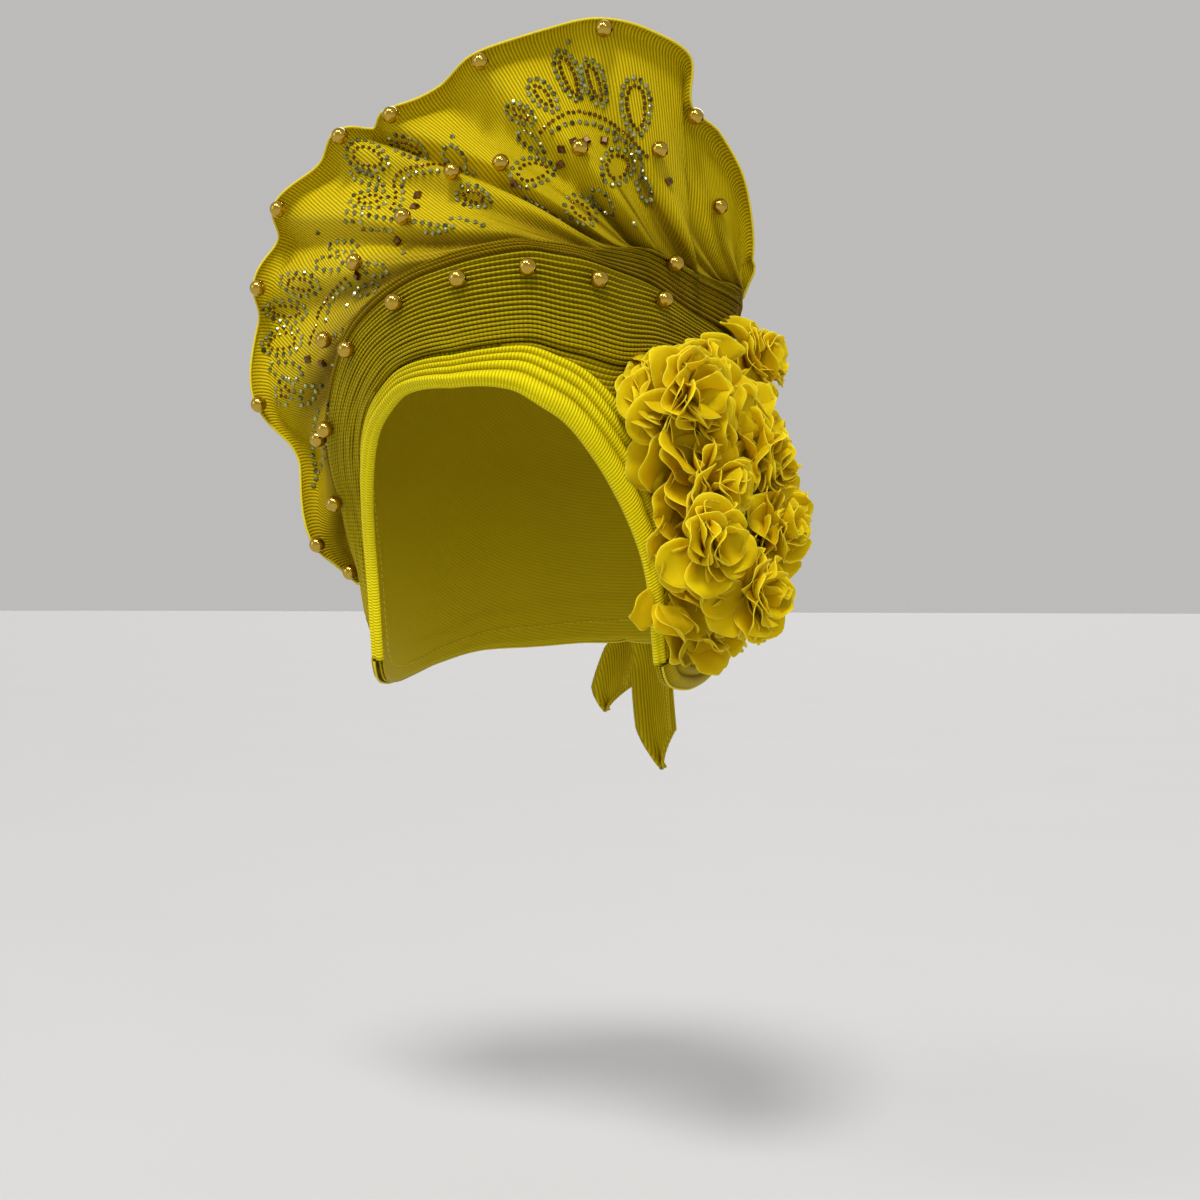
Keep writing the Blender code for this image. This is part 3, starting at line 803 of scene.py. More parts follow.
def make_fan(material):
    """Pleated fan with its outer edge turned forward in a soft curl."""
    folds = np.linspace(0, 10, 10 * 26 + 1)
    shares = np.linspace(0, 1, 91) ** 0.9
    fold, share = np.meshgrid(folds, shares)
    lift = CLOTH + 0.0007 * wander(fold / 4, share * 2, 11) * np.sin(np.pi * share)
    crest = between(CREST, fold, 1)
    peel = np.clip((fan_share_to_along(np.maximum(crest, 0), share) - crest) / FAN_PEEL, 0, 1)
    # Painted shade in the fold valleys and along the creases, taken off the weave's distance below, so
    # the material darkens them as it does near the ring
    painted_crease_shade = 0.8 * np.exp(-((fold % 1 - 0.66) / 0.13) ** 2) * np.clip(1.5 * peel, 0, 1)
    for at, reach, depth in CREASES:
        fade = np.clip((peel - (1 - reach)) / 0.5, 0, 1) * (1 - 0.6 * (peel == 1))
        off = np.abs(fold - at)
        lift -= depth * fade * (np.exp(-off / 0.06) - 0.45 * np.exp(-off / 0.18))
        painted_crease_shade += 250 * depth * fade * np.exp(-(off / 0.07) ** 2)
    billow = np.clip((fold - 5.2) / 1.2, 0, 1) * np.clip((peel - 0.1) / 0.6, 0, 1) * (1 - 0.6 * peel ** 4)
    lift += 0.0030 * billow * np.sin(math.tau * 1.45 * fold + 0.8 * np.sin(fold * 3))
    body, s, distance = fan_point(fold, share, lift)
    body += fan_front(s) * (0.0028 * peel ** 2 * (cusps(fold) - 0.6))[..., None]
    start = np.maximum(between(CREST, folds, 1), 0)
    across, front, reach = lip_reach(start)
    turn = np.linspace(1, 0, CURL_ROWS + 1)[:-1]
    ahead, forward = lip_curl(turn[:, None, None])
    reach = reach * np.interp(folds, (0, 9.5, 10), (1, 1, 0.6))[:, None]
    lip = body[0] + (across * ahead + front * forward) * reach
    points = np.concatenate((lip, body))
    edge = arc_length(lip[:1], 1)[0]
    rib = np.interp(s, start, edge)
    rib = np.concatenate((np.repeat(edge[None], len(lip), 0), rib))
    # The weave's second axis is the distance from the ring, less the painted crease shade; the material
    # turns it into painted shade
    out = np.concatenate((distance[0] + FAN_LIP * turn[:, None], distance - 0.045 * painted_crease_shade))

    # The near side is tucked behind the ring, further where the pleats gather
    front = fan_front(s[:, 0])
    front = np.concatenate((np.repeat(front[:1], CURL_ROWS, 0), front))[:, None]
    near = points[:, :1]
    toward = unit(fan_section(s[:, 0])[0] - body[:, 0] - 1e-6)
    toward = np.concatenate((np.repeat(toward[:1], CURL_ROWS, 0), toward))[:, None]
    depth = np.linspace(1, 0, TUCK_COLUMNS + 1)[:-1, None]
    gather = np.clip((np.r_[np.zeros(CURL_ROWS), shares] - 0.6) / 0.2, 0, 1)[:, None, None]
    tuck = TUCK + (TUCK_AT_GATHER - TUCK) * gather
    tucked = near + toward * depth * tuck - front * np.sin(depth * np.pi / 2) * 0.0040

    # The far side curls forward as the outer edge does, less and less towards the gather
    front = fan_front(s[:, -1])
    outward = unit(np.cross(np.gradient(body[:, -1], axis=0), front))
    outward *= np.sign((outward * (body[:, -1] - body[:, -6])).sum(-1, keepdims=True))
    reach = FAN_LIP * np.interp(shares, (0, 0.1, 0.4, 0.7, 1), (0.6, 0.6, 0.35, 0.06, 0.02))
    ahead, forward = lip_curl(turn[::-1, None])
    end = (outward[:, None] * ahead + front[:, None] * forward) * reach[:, None, None]
    corner = end[:1] * (1 - 0.97 * turn)[:, None, None]
    end = points[:, -1:] + np.concatenate((corner, end))
    points = np.concatenate((tucked, points, end), 1)
    beyond = FAN_LIP * turn[::-1]
    rib = np.concatenate((np.repeat(rib[:, :1], TUCK_COLUMNS, 1), rib, rib[:, -1:] + beyond), 1)
    # The tucked columns count as nearer the ring still, so they get more painted shade
    out = np.concatenate((out[:, :1] - TUCK * depth.T, out, np.repeat(out[:, -1:], CURL_ROWS, 1)), 1)
    obj = grid_object("fan_cloth", points, np.stack((rib, out), -1), facing=(0, -1, 0))
    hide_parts("fan")
    outline = np.concatenate((lip[0], points[CURL_ROWS:, -1][shares < 0.7]))
    return finish_piece(obj, material), outline


def make_ring(material):
    """Ring of fine pleats that waver and tuck into each other."""
    t, v = np.meshgrid(np.linspace(0, 1, 241), np.linspace(0, 1, RING_PLEATS * 8 + 1))
    drift = 0.28 * wander(t * 1.6, v * 0.7, 21) * np.clip(np.sin(np.pi * v) * 3, 0, 1)
    phase = RING_PLEATS * v + drift
    swell = 1 + 0.25 * wander(t * 2, v * 4, 22)
    height = 0.0004 + (RING_FOLD + 0.0014) * cusps(phase) * swell
    lean = 0.0009 * np.sin(math.tau * phase) * np.clip(np.sin(np.pi * v) * 4, 0, 1)
    share = 0.7 * v + 0.3 * v ** 2 + lean / RING_WIDTH
    points = ring_point(t, share) + ring_front(t) * height[..., None]
    middle = arc_length(points, 1)[len(points) // 2]
    rib = np.broadcast_to(middle, t.shape)
    # The weave's second axis follows the pleats, so that the material paints shade in their valleys
    weave = np.stack((rib, phase * RING_WIDTH / RING_PLEATS), -1)
    obj = grid_object("ring_cloth", points, weave, thick=0.0003, facing=(0, -1, 0))
    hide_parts("pleat_ring")
    return finish_piece(obj, material)


def make_band(material):
    """Four wraps round the face, the lowest turned under at the face's edge."""
    grooves = (0, 0.34, 0.58, 0.80, 1)
    around, v = np.meshgrid(np.linspace(-BAND_END, BAND_END, 281), np.linspace(0, 1, 57))
    settle = np.clip(4 * np.sin(np.pi * v), 0, 1)
    level = v + 0.035 * wander(around / 120, v, 31) * settle
    phase = np.interp(level, grooves, range(5))
    down = rim(around) + (band_top(around) - rim(around)) * v
    lift = CAP_LIFT + TOUCH_GAP + CLOTH + BAND_ROLL * cusps(phase, 0.6)
    front = head_point(around, down, lift)
    turn = np.linspace(1, 0, 7)[:-1, None] * np.pi
    edge = around[:1]
    under = climb(edge, rim(edge), -0.0016 * np.sin(turn))
    shut = (1 - np.cos(turn)) / 2
    lift = (CAP_LIFT + TOUCH_GAP + CLOTH) * (1 - shut) + 0.0010 * shut
    points = np.concatenate((head_point(edge, under, lift), front))
    rib = np.broadcast_to(arc_length(front, 1)[20], points.shape[:2])
    # The weave's second axis follows the wraps, so that the material paints shade in the grooves between
    # them
    out = np.concatenate((np.full(under.shape, 0.5), np.maximum(phase, 0.5))) * BAND_WIDTH / BAND_WRAPS
    obj = grid_object("brow_wraps", points, np.stack((rib, out), -1), thick=0.0004)
    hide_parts("brow_band")
    return finish_piece(obj, material)


def make_side_pleats(material):
    """Pleats on the cap where the ring's foot climbs away from the wraps round the face."""
    around, v = np.meshgrid(np.linspace(12, 74, 91), np.linspace(0, 1, 161))
    depth = RING_FOOT_GAP + RING_LEAVE * np.maximum(between(RING, around, 1), 0)
    down = climb(around, band_top(around), depth * (1 - v))
    phase = depth * v / SIDE_PLEAT + 0.15 * wander(around / 60, v, 23)
    points = head_point(around, down, CAP_LIFT + 0.0003 + (RING_FOLD + 0.0008) * cusps(phase))
    rib = np.broadcast_to(arc_length(points, 1)[60], v.shape)
    # The weave's second axis follows the pleats, so that the material paints shade in their valleys
    obj = grid_object("side_pleats", points, np.stack((rib, phase * SIDE_PLEAT), -1), thick=0.0003)
    return finish_piece(obj, material)


def cap_folds(p):
    """Height of the lapped folds that cross the cap from ear to ear, by the place on the head."""
    turn = np.degrees(np.arctan2(p[..., 2] + 0.02, -p[..., 1]))
    side = np.abs(p[..., 0]) / HEAD_ABOVE[0]
    phase = turn / 13 + 0.35 * wander(p[..., 0] * 5, turn / 90, 41)
    fold = (phase - np.floor(phase)) ** 1.6
    fold *= np.clip(12 * (1 - (phase - np.floor(phase))), 0, 1)
    return 0.0022 * fold * np.clip(1.15 - side ** 2, 0.15, 1)


def make_cap(material):
    """Close cap with the cloth's soft folds laid over it from ear to ear."""
    around, share = np.meshgrid(np.linspace(-180, 180, 241)[:-1], np.linspace(0.0, 1, 121))
    share = np.maximum(share, 0.0004)
    down = rim(around) * share
    skin = head_point(around, down)
    behind = np.clip((125 - around) / 35, 0, 1)
    foot = RING_FOOT_GAP + RING_LEAVE * behind * np.maximum(between(RING, around, 1), 0)
    free = np.clip((climb(around, band_top(around), foot) - down) / 10, 0, 1)
    points = head_point(around, down, CAP_LIFT + 0.0002 + cap_folds(skin) * free)
    across = 0.11 * np.arctan2(skin[..., 0], skin[..., 2] + 0.10)
    weave = np.stack((across, arc_length(points, 0)), -1)
    obj = grid_object("cap_cloth", points, weave, thick=0.0006, wrap=True)
    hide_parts("crown_cap")
    finish_piece(obj, material)


def make_lining(material, thread):
    """Smooth lining of the cap, with a stitched hem inside its edge."""
    around, share = np.meshgrid(np.linspace(-180, 180, 181)[:-1], np.linspace(0.0004, 1, 91))
    down = rim(around) * share
    hem = 0.0004 * ((rim(around) - down) < 9)
    points = head_point(around, down, HEAD_EASE + 0.0004 - hem)
    weave = np.stack((arc_length(points, 0), points[..., 0]), -1)
    obj = grid_object("cap_lining", points, weave, thick=0.0004, wrap=True)
    finish_piece(obj, material)
    turns = np.linspace(-180, 180, 361)
    line = head_point(turns, climb(turns, rim(turns), 0.011), HEAD_EASE - 0.0006)
    stitch_lines("lining_stitches", [line], thread, HEM_STITCH)


def make_nape(material, thread):
    """Fine wraps round the back of the neck, with a pale hem edge."""
    first, last = BAND_END + 0.8, 360 - BAND_END - 0.8
    around, v = np.meshgrid(np.linspace(first, last, 181), np.linspace(0, 1, 65))
    phase = NAPE_WRAPS * v + 0.18 * wander(around / 90, v, 51) * np.clip(4 * np.sin(np.pi * v), 0, 1)
    down = climb(around, rim(around), NAPE_WIDTH * v)
    lift = CAP_LIFT + SEAM_GAP + CLOTH + (NAPE_ROLL + 0.0004) * cusps(phase, 0.5)
    points = head_point(around, down, lift)
    rib = np.broadcast_to(arc_length(points, 1)[30], v.shape)
    # The weave's second axis follows the wraps, so that the material paints shade in the grooves between
    # them
    obj = grid_object("nape_wraps", points, np.stack((rib, phase * NAPE_WIDTH / NAPE_WRAPS), -1))
    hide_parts("nape_band")
    hem = head_point(around[0], climb(around[0], rim(around[0]), -0.0003), lift[0] + 0.0002)
    cord_object("nape_hem", hem, EDGE_CORD, thread)
    return finish_piece(obj, material)


def base_place(u, v):
    """Direction of a place on the net from the head's centre, and how far the net rises there."""
    first, last = 54, 126
    around = first + (last - first) * u
    low = np.where(around <= BAND_END, band_top(around), climb(around, rim(around), NAPE_WIDTH))
    low = np.minimum(low - 1.5, BASE_LOW)
    high = ring_foot_down(around) + 4
    rise = np.sqrt(np.sin(np.pi * np.clip(u, 0, 1)) * np.sin(np.pi * np.clip(v, 0, 1)))
    return around, low + (high - low) * v, rise


def make_base(material):
    """Crumpled net that the flowers are sewn to."""
    u, v = np.meshgrid(np.linspace(0, 1, 97), np.linspace(0, 1, 81))
    around, down, rise = base_place(u, v)
    flat = head_point(around, down)
    crumple = np.array([[noise.noise(Vector(p) * 90) for p in row] for row in flat])
    lift = CAP_LIFT + SEAM_GAP + CLOTH + (BASE_RISE - 0.002) * rise + 0.0025 * crumple * rise
    points = head_point(around, down, lift)
    weave = np.stack((arc_length(points, 1), arc_length(points, 0)), -1)
    obj = grid_object("flower_net", points, weave)
    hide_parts("flower_base")
    return finish_piece(obj, material)


def petal(draw, length, width, opening, curl, facing):
    """Grid of one round ruffled petal, and how near each point is to its edge."""
    u, v = np.meshgrid(np.linspace(-1, 1, 9), np.linspace(-1, 1, 9))
    along = v * np.sqrt(1 - u ** 2 / 2)
    across = u * np.sqrt(1 - v ** 2 / 2)
    b = (along + 1) / 2
    half = width / 2 * (0.40 + 0.60 * np.minimum(b / 0.55, 1) ** 0.8)
    fine = np.linspace(0, 1, 41)
    angle = np.radians(opening + draw.uniform(-22, 22) + (curl + draw.uniform(-45, 45)) * fine ** 1.4)
    run = np.interp(b, fine, np.cumsum(np.sin(angle)) * length / 41)
    rise = np.interp(b, fine, np.cumsum(np.cos(angle)) * length / 41)
    slope = np.interp(b, fine, angle)
    near = np.maximum(np.abs(u), np.abs(v))
    cup = draw.uniform(-0.25, 0.55) * half * across ** 2
    crease = draw.uniform(0, 0.40) * half * np.abs(across - draw.uniform(-0.4, 0.4))
    waves, shift = draw.choice((3, 4, 5)), draw.uniform(0, math.tau)
    frill = draw.uniform(0.0010, 0.0024) * np.sin(waves * np.arctan2(across, along) + shift) * near ** 3
    up = cup + (crease + frill) * np.minimum(b * 2, 1)
    lean = math.radians(draw.uniform(-30, 30))
    x = run - np.cos(slope) * up
    y = half * across * math.cos(lean)
    z = rise + np.sin(slope) * up + half * across * math.sin(lean)
    turn = facing + math.radians(draw.uniform(-20, 20))
    points = np.stack((
        x * math.cos(turn) - y * math.sin(turn), x * math.sin(turn) + y * math.cos(turn), z
    ), -1)
    return points, np.stack((across, near), -1)


def head_sides(axis):
    """Level and upward directions along the head at a place whose normal is the axis."""
    side = unit(np.cross((0, 0, 1), axis))
    return side, np.cross(axis, side)


def make_loose_petals(material):
    """Petals sewn all over the net between the blossoms, and a skirt of them round its edge."""
    draw = random.Random(77)
    places = [
        ((i + draw.random()) / 13, (j + draw.random()) / 10, draw.uniform(25, 75), None, 0.88)
        for i in range(13) for j in range(10)
    ]
    for i in range(72):
        turn = math.tau * i / 72
        u, v = 0.5 + 0.47 * math.cos(turn), 0.5 - 0.49 * math.sin(turn)
        places.append((u, v, draw.uniform(62, 98), turn, 1.15 if math.sin(turn) > 0.3 else 0.95))
    for i in range(30):
        u, v = 0.46 + 0.50 * draw.random(), -0.36 * draw.random()
        places.append((u, v, draw.uniform(35, 88), math.radians(draw.uniform(40, 140)), 0.95))
    for i in range(14):
        places.append((0.52 + 0.40 * i / 13, draw.uniform(0.96, 1.10), draw.uniform(20, 60), None, 0.95))
    grids = []
    for u, v, opening, outward, size in places:
        around, down, rise = base_place(u, v)
        lift = CAP_LIFT + SEAM_GAP + CLOTH + (BASE_RISE - 0.002) * rise + 0.002 * (v < 0)
        foot = head_point(around, down, lift)
        axis = head_normal(head_point(around, down))
        side, ahead = head_sides(axis)
        if outward is None:
            facing = draw.uniform(0, math.tau)
        elif v < 0:
            facing = -outward
        else:
            centre = head_point(*base_place(0.5, 0.5)[:2], lift)
            away = foot - centre
            facing = math.atan2(away @ ahead, away @ side)
        length = FLOWER_RADIUS * size * draw.uniform(0.85, 1.05)
        points, weave = petal(draw, length, length * draw.uniform(0.85, 1.05), opening, 12, facing)
        fall = (points[..., 0] ** 2 + points[..., 1] ** 2) / (2 * HEAD_ABOVE[1])
        points[..., 2] = np.maximum(points[..., 2], CAP_LIFT + 0.0040 - lift - fall)
        points = points[..., :1] * side + points[..., 1:2] * ahead + points[..., 2:] * axis
        grids.append((foot + points, weave))
    obj = join_grids("loose_petals", grids, CHIFFON)
    return finish_piece(obj, material)


def join_grids(name, grids, thick):
    """One object from many small grids of points."""
    verts, quads, weaves = [], [], []
    for points, weave in grids:
        rows, columns = points.shape[:2]
        index = np.arange(rows * columns).reshape(rows, columns) + sum(len(v) for v in verts)
        corners = index[:-1, :-1], index[:-1, 1:], index[1:, 1:], index[1:, :-1]
        quads.append(np.stack(corners, -1).reshape(-1, 4))
        verts.append(points.reshape(-1, 3))
        weaves.append(weave.reshape(-1, 2))
    mesh = bpy.data.meshes.new(name)
    mesh.from_pydata(np.concatenate(verts).tolist(), [], np.concatenate(quads).tolist())
    set_weave(mesh, np.concatenate(weaves))
    mesh.shade_smooth()
    obj = linked(name, mesh)
    give_thickness(obj, thick, 0)
    return obj


def make_flowers(material):
    """Blossoms of loose round petals on the solids' places."""
    for number, (node, around, down, size, turn) in enumerate(FLOWERS, 1):
        draw = random.Random(100 + number)
        co = np.array([v.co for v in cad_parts[node].data.vertices])
        foot = head_point(around, down, CAP_LIFT + BASE_RISE)
        axis = head_normal(foot)
        centre = co.mean(0)
        foot = centre - axis * (centre @ axis - (co @ axis).min())
        side, ahead = head_sides(axis)
        grids = []
        for ring, (count, opening, length, width, curl) in enumerate(PETAL_RINGS):
            for i in range(count):
                facing = math.radians(turn) + math.tau * (i + 0.5 * (ring % 2)) / count
                points, weave = petal(
                    draw,
                    FLOWER_RADIUS * size * length * draw.uniform(0.9, 1.1),
                    FLOWER_RADIUS * size * width * draw.uniform(0.9, 1.1),
                    opening, curl, facing,
                )
                points = points[..., :1] * side + points[..., 1:2] * ahead + points[..., 2:] * axis
                grids.append((foot + axis * (0.002 + 0.0012 * ring) + points, weave))
        obj = join_grids("blossom_%d" % number, grids, CHIFFON)
        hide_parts(node)
        finish_piece(obj, material)


def bead_mesh(centre, axis):
    """Verts and faces of a round bead with a rimmed bore along an axis."""
    bore = 0.0007
    turns = np.radians(np.linspace(11, 169, 19))
    profile = [(bore, 0.80 * BEAD_RADIUS), (bore * 1.3, 0.985 * BEAD_RADIUS)]
    profile += [(BEAD_RADIUS * math.sin(a), BEAD_RADIUS * math.cos(a)) for a in turns]
    profile += [(bore * 1.3, -0.985 * BEAD_RADIUS), (bore, -0.80 * BEAD_RADIUS)]
    radius, height = np.array(profile).T
    spin = np.linspace(0, math.tau, 29)[:-1]
    side = unit(np.cross(axis, (0.3, 0.2, 0.93)))
    ahead = np.cross(axis, side)
    flat = np.cos(spin)[:, None] * side + np.sin(spin)[:, None] * ahead
    return centre + radius[:, None, None] * flat + height[:, None, None] * axis


def make_beads(material):
    """Gold beads on the solids' places, one piece for each row of them."""
    for row, count in (("edge", 9), ("fan", 10), ("ring", 9)):
        bm = bmesh.new()
        names = ["bead_%s_%d" % (row, i + 1) for i in range(count)]
        for name in names:
            low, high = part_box(name)
            centre = np.array((low + high) / 2)
            axis = unit(np.cross(centre, (0, 1, 0)))
            rings = bead_mesh(centre, axis)
            verts = [[bm.verts.new(p) for p in ring] for ring in rings]
            for one, two in zip(verts, verts[1:] + verts[:1]):
                for i in range(len(one)):
                    j = (i + 1) % len(one)
                    bm.faces.new((one[i], two[i], two[j], one[j]))
        bmesh.ops.recalc_face_normals(bm, faces=bm.faces)
        obj = object_from("beads_" + row, bm)
        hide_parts(*names)
        finish_piece(obj, material)


def pixel_ray(x, y):
    right = (x - IMAGE_CENTRE) * METRES_PER_PIXEL
    up = (IMAGE_CENTRE - y) * METRES_PER_PIXEL
    return (VIEW_RIGHT * right + Vector((0, 0, up)) - VIEW_BACK * VIEW_DISTANCE).normalized()


def cut_stone(bm, place, normal, radius, sides, turn):
    """One faceted stone with a table, glued flat on the cloth."""
    side = normal.orthogonal().normalized()
    side.rotate(Matrix.Rotation(turn, 3, normal))
    ahead = normal.cross(side)
    rings = []
    for share, rise in ((0.90, -0.15), (1.0, 0.25), (0.58, 0.75)):
        ring = []
        for i in range(sides):
            angle = math.tau * i / sides
            out = side * math.cos(angle) + ahead * math.sin(angle)
            ring.append(bm.verts.new(place + (out * share + normal * rise) * radius))
        rings.append(ring)
    bm.faces.new(rings[0][::-1])
    bm.faces.new(rings[2])
    for low, high in zip(rings, rings[1:]):
        for i in range(sides):
            j = (i + 1) % sides
            bm.faces.new((low[i], low[j], high[j], high[i]))


def leaf_pixels(x, y, long, wide, turn, step):
    """Pixels spaced evenly round a leaf that narrows to its tip."""
    fine = np.linspace(0, math.tau, 241)
    u, v = wide * np.sin(fine) * (1 + 0.18 * np.cos(fine)), long * -np.cos(fine)
    a = math.radians(turn)
    loop = np.stack((x + u * math.cos(a) - v * math.sin(a), y + u * math.sin(a) + v * math.cos(a)), -1)
    return evenly(loop, step, closed=True)


def evenly(line, step, closed=False):
    """Points at even steps along a line."""
    gone = np.r_[0, np.cumsum(np.linalg.norm(np.diff(line, axis=0), axis=1))]
    count = max(round(gone[-1] / step), 2)
    marks = np.linspace(0, gone[-1], count + 1)[: count if closed else count + 1]
    return np.stack([np.interp(marks, gone, line[:, i]) for i in (0, 1)], -1)


def bowed(start, middle, end):
    """Line through three pixels."""
    t = np.linspace(0, 1, 41)[:, None]
    start, middle, end = (np.array(p, float) for p in (start, middle, end))
    bend = 2 * middle - (start + end) / 2
    return (1 - t) ** 2 * start + 2 * t * (1 - t) * bend + t ** 2 * end


def make_stones(fan, clear, brown):
    """Rhinestones on the fan's front, where the photograph's lines of sight meet it."""
    tree = BVHTree.FromPolygons(
        [v.co.copy() for v in fan.data.vertices], [list(p.vertices) for p in fan.data.polygons]
    )
    draw = random.Random(7)
    pale, dark = [], []
    for x, y, long, wide, turn in LEAVES:
        pale += [(p, STONE_RADIUS) for p in leaf_pixels(x, y, long, wide, turn, STONE_STEP)]
        inner = leaf_pixels(x, y, long - 7, wide - 5.5, turn, SMALL_STEP) if wide > 8 else []
        dark += [(p, SMALL_RADIUS) for p in inner]
    for start, middle, end, small in ROWS:
        step = SMALL_STEP if small else STONE_STEP
        radius = SMALL_RADIUS if small else STONE_RADIUS
        row = [(p, radius) for p in evenly(bowed(start, middle, end), step)]
        (dark if small else pale).extend(row)
    pale += [(p, STONE_RADIUS) for p in SINGLES]
    squares = [(p, SQUARE_HALF) for p in SQUARES]
    for name, stones, sides, material, slot in (
        ("rhinestones_clear", pale, 8, clear, "crystal"),
        ("rhinestones_brown", dark, 8, brown, "topaz"),
        ("square_stones", squares, 4, brown, "topaz"),
    ):
        bm = bmesh.new()
        for (x, y), radius in stones:
            jog = 0.5 if sides == 8 else 0
            sight = pixel_ray(x + draw.uniform(-jog, jog), y + draw.uniform(-jog, jog))
            hit, normal = tree.ray_cast(EYE, sight)[:2]
            if hit is None:
                continue
            normal = normal if normal.dot(sight) < 0 else -normal
            cut_stone(bm, hit + normal * 0.0002, normal, radius, sides, draw.uniform(0, math.tau))
        finish_piece(object_from(name, bm, smooth=False), material)


def centred_on(points, *nodes):
    """The points, moved so that their box is centred on the box of some solids."""
    boxes = np.array([[tuple(corner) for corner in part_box(node)] for node in nodes])
    middle = (boxes[:, 0].min(0) + boxes[:, 1].max(0)) / 2
    flat = points.reshape(-1, 3)
    return points + middle - (flat.min(0) + flat.max(0)) / 2


def make_tails(material, thread):
    """Two flat ends of the tie with pointed tips, each with a double seam."""
    axis = unit(np.array((0, 1, 0.10)))
    side = unit(np.cross((0, 0, 1), axis))
    ahead = np.cross(axis, side)
    for name, length, lean in (("tie_tail_long", 1.0, -0.12), ("tie_tail_short", 0.62, 0.30)):
        u, v = np.meshgrid(np.linspace(0, 1, 33), np.linspace(0, 1, 65))
        narrow = 0.45 + 0.55 * np.minimum(v / 0.3, 1)
        point = np.maximum(v - 0.72, 0) / 0.28
        half = TAIL_WIDTH / 2 * narrow * (1 - 0.94 * point)
        long = TAIL_LENGTH * length
        x = (2 * u - 1) * half + lean * long * v + point * half * 0.5
        curl = 0.10 * TAIL_WIDTH * np.cos(np.pi * (2 * u - 1)) + 0.0008 * wander(u, v * 2, 61)
        curl += 0.0035 * np.sin(math.tau * (0.75 * v + 0.15)) * np.minimum(v * 3, 1)
        hem = 0.0006 * (np.abs(2 * u - 1) > 0.82)
        z = curl + CLOTH + hem
        local = x[..., None] * side - (long * v)[..., None] * ahead + z[..., None] * axis
        points = centred_on(local, name)
        weave = np.stack((x + 0.12 * long * v, long * v), -1)
        obj = grid_object(name + "_cloth", points, weave, thick=CLOTH, facing=axis)
        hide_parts(name)
        finish_piece(obj, material)
        front, back = points[2:48] - axis * (CLOTH + 0.0002), points[2:48] + axis * 0.0002
        rows = [side[:, column] for side in (front, back) for column in (5, 8)]
        stitch_lines(name + "_seam", rows, thread, SEAM_STITCH)


def resample(line, step):
    """Points of a line in space at even steps."""
    gone = np.r_[0, np.cumsum(np.linalg.norm(np.diff(line, axis=0), axis=1))]
    marks = np.linspace(0, gone[-1], max(round(gone[-1] / step), 2) + 1)
    return np.stack([np.interp(marks, gone, line[:, i]) for i in range(3)], -1)


def stitch_lines(name, lines, material, step):
    """Short stitches along some lines."""
    bm = bmesh.new()
    for line in lines:
        points = resample(line, step)
        for start, end in zip(points, points[1:]):
            along = Vector(end - start)
            size = Matrix.Diagonal((0.0003, 0.0003, along.length * 0.42, 1))
            turn = along.to_track_quat("Z", "Y").to_matrix().to_4x4()
            place = Matrix.Translation(Vector((start + end) / 2))
            bmesh.ops.create_icosphere(bm, subdivisions=1, radius=1, matrix=place @ turn @ size)
    finish_piece(object_from(name, bm), material)


def make_knot(material):
    """Knot of cloth with folds that run round it."""
    turn, rise = np.meshgrid(np.linspace(0, math.tau, 73)[:-1], np.linspace(0.02, np.pi - 0.02, 41))
    fold = 1 + 0.07 * cusps((rise * 2.2 + 0.25 * np.sin(turn)) / np.pi * 2) - 0.04
    x = 0.50 * np.sin(rise) * np.cos(turn) * fold
    y = 0.36 * np.cos(rise)
    z = 0.26 * np.sin(rise) * np.sin(turn) * fold
    points = centred_on(np.stack((x, z, y), -1) * KNOT_WIDTH, "tie_knot")
    weave = np.stack((turn * KNOT_WIDTH * 0.4, rise * KNOT_WIDTH * 0.4), -1)
    obj = grid_object("knot_cloth", points, weave, thick=0, wrap=True)
    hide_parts("tie_knot")
    return finish_piece(obj, material)


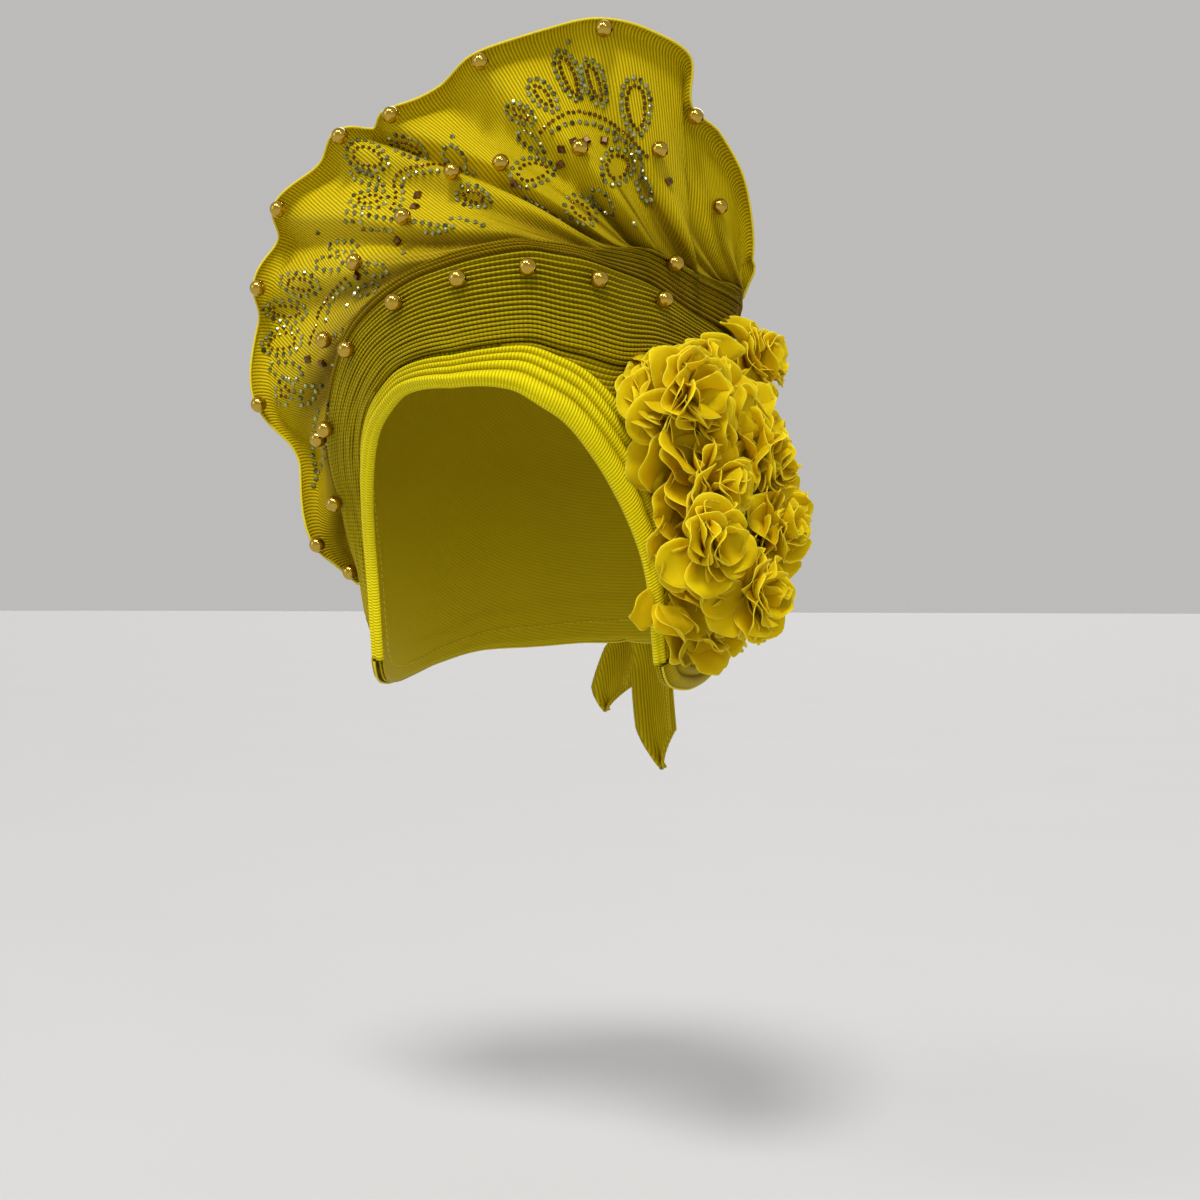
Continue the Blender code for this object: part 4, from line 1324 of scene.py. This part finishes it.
def make_stage():
    """Plain pale floor, soft lights and the camera at the photograph's place."""
    bm = bmesh.new()
    bmesh.ops.create_grid(bm, x_segments=1, y_segments=1, size=40)
    floor = object_from("floor", bm, smooth=False)
    floor.location = (0, 0, -0.36)
    material, tree, shader = new_material("floor_paint", 0.8)
    mottle = blotches(tree, 3.0)
    link(tree, shader, Base_Color=mix(tree, mottle, PALE, PALE_SPOT))
    floor.data.materials.append(material)

    world = bpy.data.worlds.new("studio")
    world.use_nodes = True
    world.node_tree.nodes["Background"].inputs[0].default_value = (0.90, 0.89, 0.88, 1)
    world.node_tree.nodes["Background"].inputs[1].default_value = 0.56
    bpy.context.scene.world = world
    bpy.context.scene.view_settings.view_transform = "Standard"

    for name, kind, place, power, width in (
        ("key", "SUN", (0.35, -1.30, 1.85), 2.1, 0.25),
        ("fill", "SUN", (-1.6, -1.3, 0.6), 0.25, 0.60),
        ("back", "SUN", (-0.5, 2.0, 1.4), 0.80, 0.60),
        ("softbox", "AREA", (-0.5, -0.9, 1.3), 5.0, 0.50),
        ("window", "AREA", (0.9, -1.0, 0.9), 1.5, 0.30),
    ):
        light = bpy.data.lights.new(name, kind)
        light.energy = power
        if kind == "SUN":
            light.angle = width
        else:
            light.size = width
        lamp = linked(name, light)
        lamp.location = place
        lamp.rotation_euler = (-Vector(place)).to_track_quat("-Z", "Y").to_euler()

    camera = bpy.data.cameras.new("camera")
    camera.sensor_width = 36
    camera.lens = 36 * VIEW_DISTANCE / (IMAGE_SIZE * METRES_PER_PIXEL)
    camera.clip_start = 0.05
    camera.clip_end = 50
    eye = linked("camera", camera)
    eye.location = EYE
    eye.rotation_euler = (math.radians(90), 0, VIEW_TURN)
    bpy.context.scene.camera = eye


make_stage()
# The fan gets painted shade near the ring and in its creases; the band, ring, side pleats and nape get
# painted shade where their folds meet
fan_weave = cloth_material("gele_fan", FAN_RIB, FAN_SHADED_LIGHT, FAN_SHADED_DARK, painted_shade_reach=0.040)
band_weave = cloth_material(
    "gele_band", BAND_RIB, GELE_LIGHT, GELE_DARK, fold=BAND_WIDTH / BAND_WRAPS, ribs=0.6
)
ring_weave = cloth_material(
    "gele_ring", RING_RIB, RING_SHADED_LIGHT, RING_SHADED_DARK, 0.00022, fold=RING_WIDTH / RING_PLEATS, ribs=0.5
)
side_weave = cloth_material(
    "gele_side", RING_RIB, RING_SHADED_LIGHT, RING_SHADED_DARK, 0.00022, fold=SIDE_PLEAT, ribs=0.5
)
nape_weave = cloth_material(
    "gele_nape", TIE_RIB, TIE_SHADED_LIGHT, TIE_SHADED_DARK, 0.0003, fold=NAPE_WIDTH / NAPE_WRAPS, ribs=0.7
)
tie_weave = cloth_material("gele_tie", TIE_RIB, TIE_SHADED_LIGHT, TIE_SHADED_DARK, ribs=0.8)
sewing = thread_material()
fan_cloth, fan_outline = make_fan(fan_weave)
cord_object("fan_edge", fan_outline, EDGE_CORD, sewing)
make_ring(ring_weave)
make_side_pleats(side_weave)
make_band(band_weave)
make_cap(cloth_material("gele_cap", FAN_RIB, FAN_SHADED_LIGHT, FAN_SHADED_DARK))
make_lining(cloth_material("gele_lining", FAN_RIB, LINING, LINING_DARK, 0.0001), sewing)
make_nape(nape_weave, sewing)
make_base(net_material())
petals = chiffon_material()
make_flowers(petals)
make_loose_petals(petals)
make_beads(gold_material())
crystal = stone_material("crystal", CRYSTAL, CRYSTAL_DARK)
topaz = stone_material("topaz", TOPAZ, TOPAZ_LIGHT)
make_stones(fan_cloth, crystal, topaz)
make_knot(tie_weave)
make_tails(tie_weave, sewing)
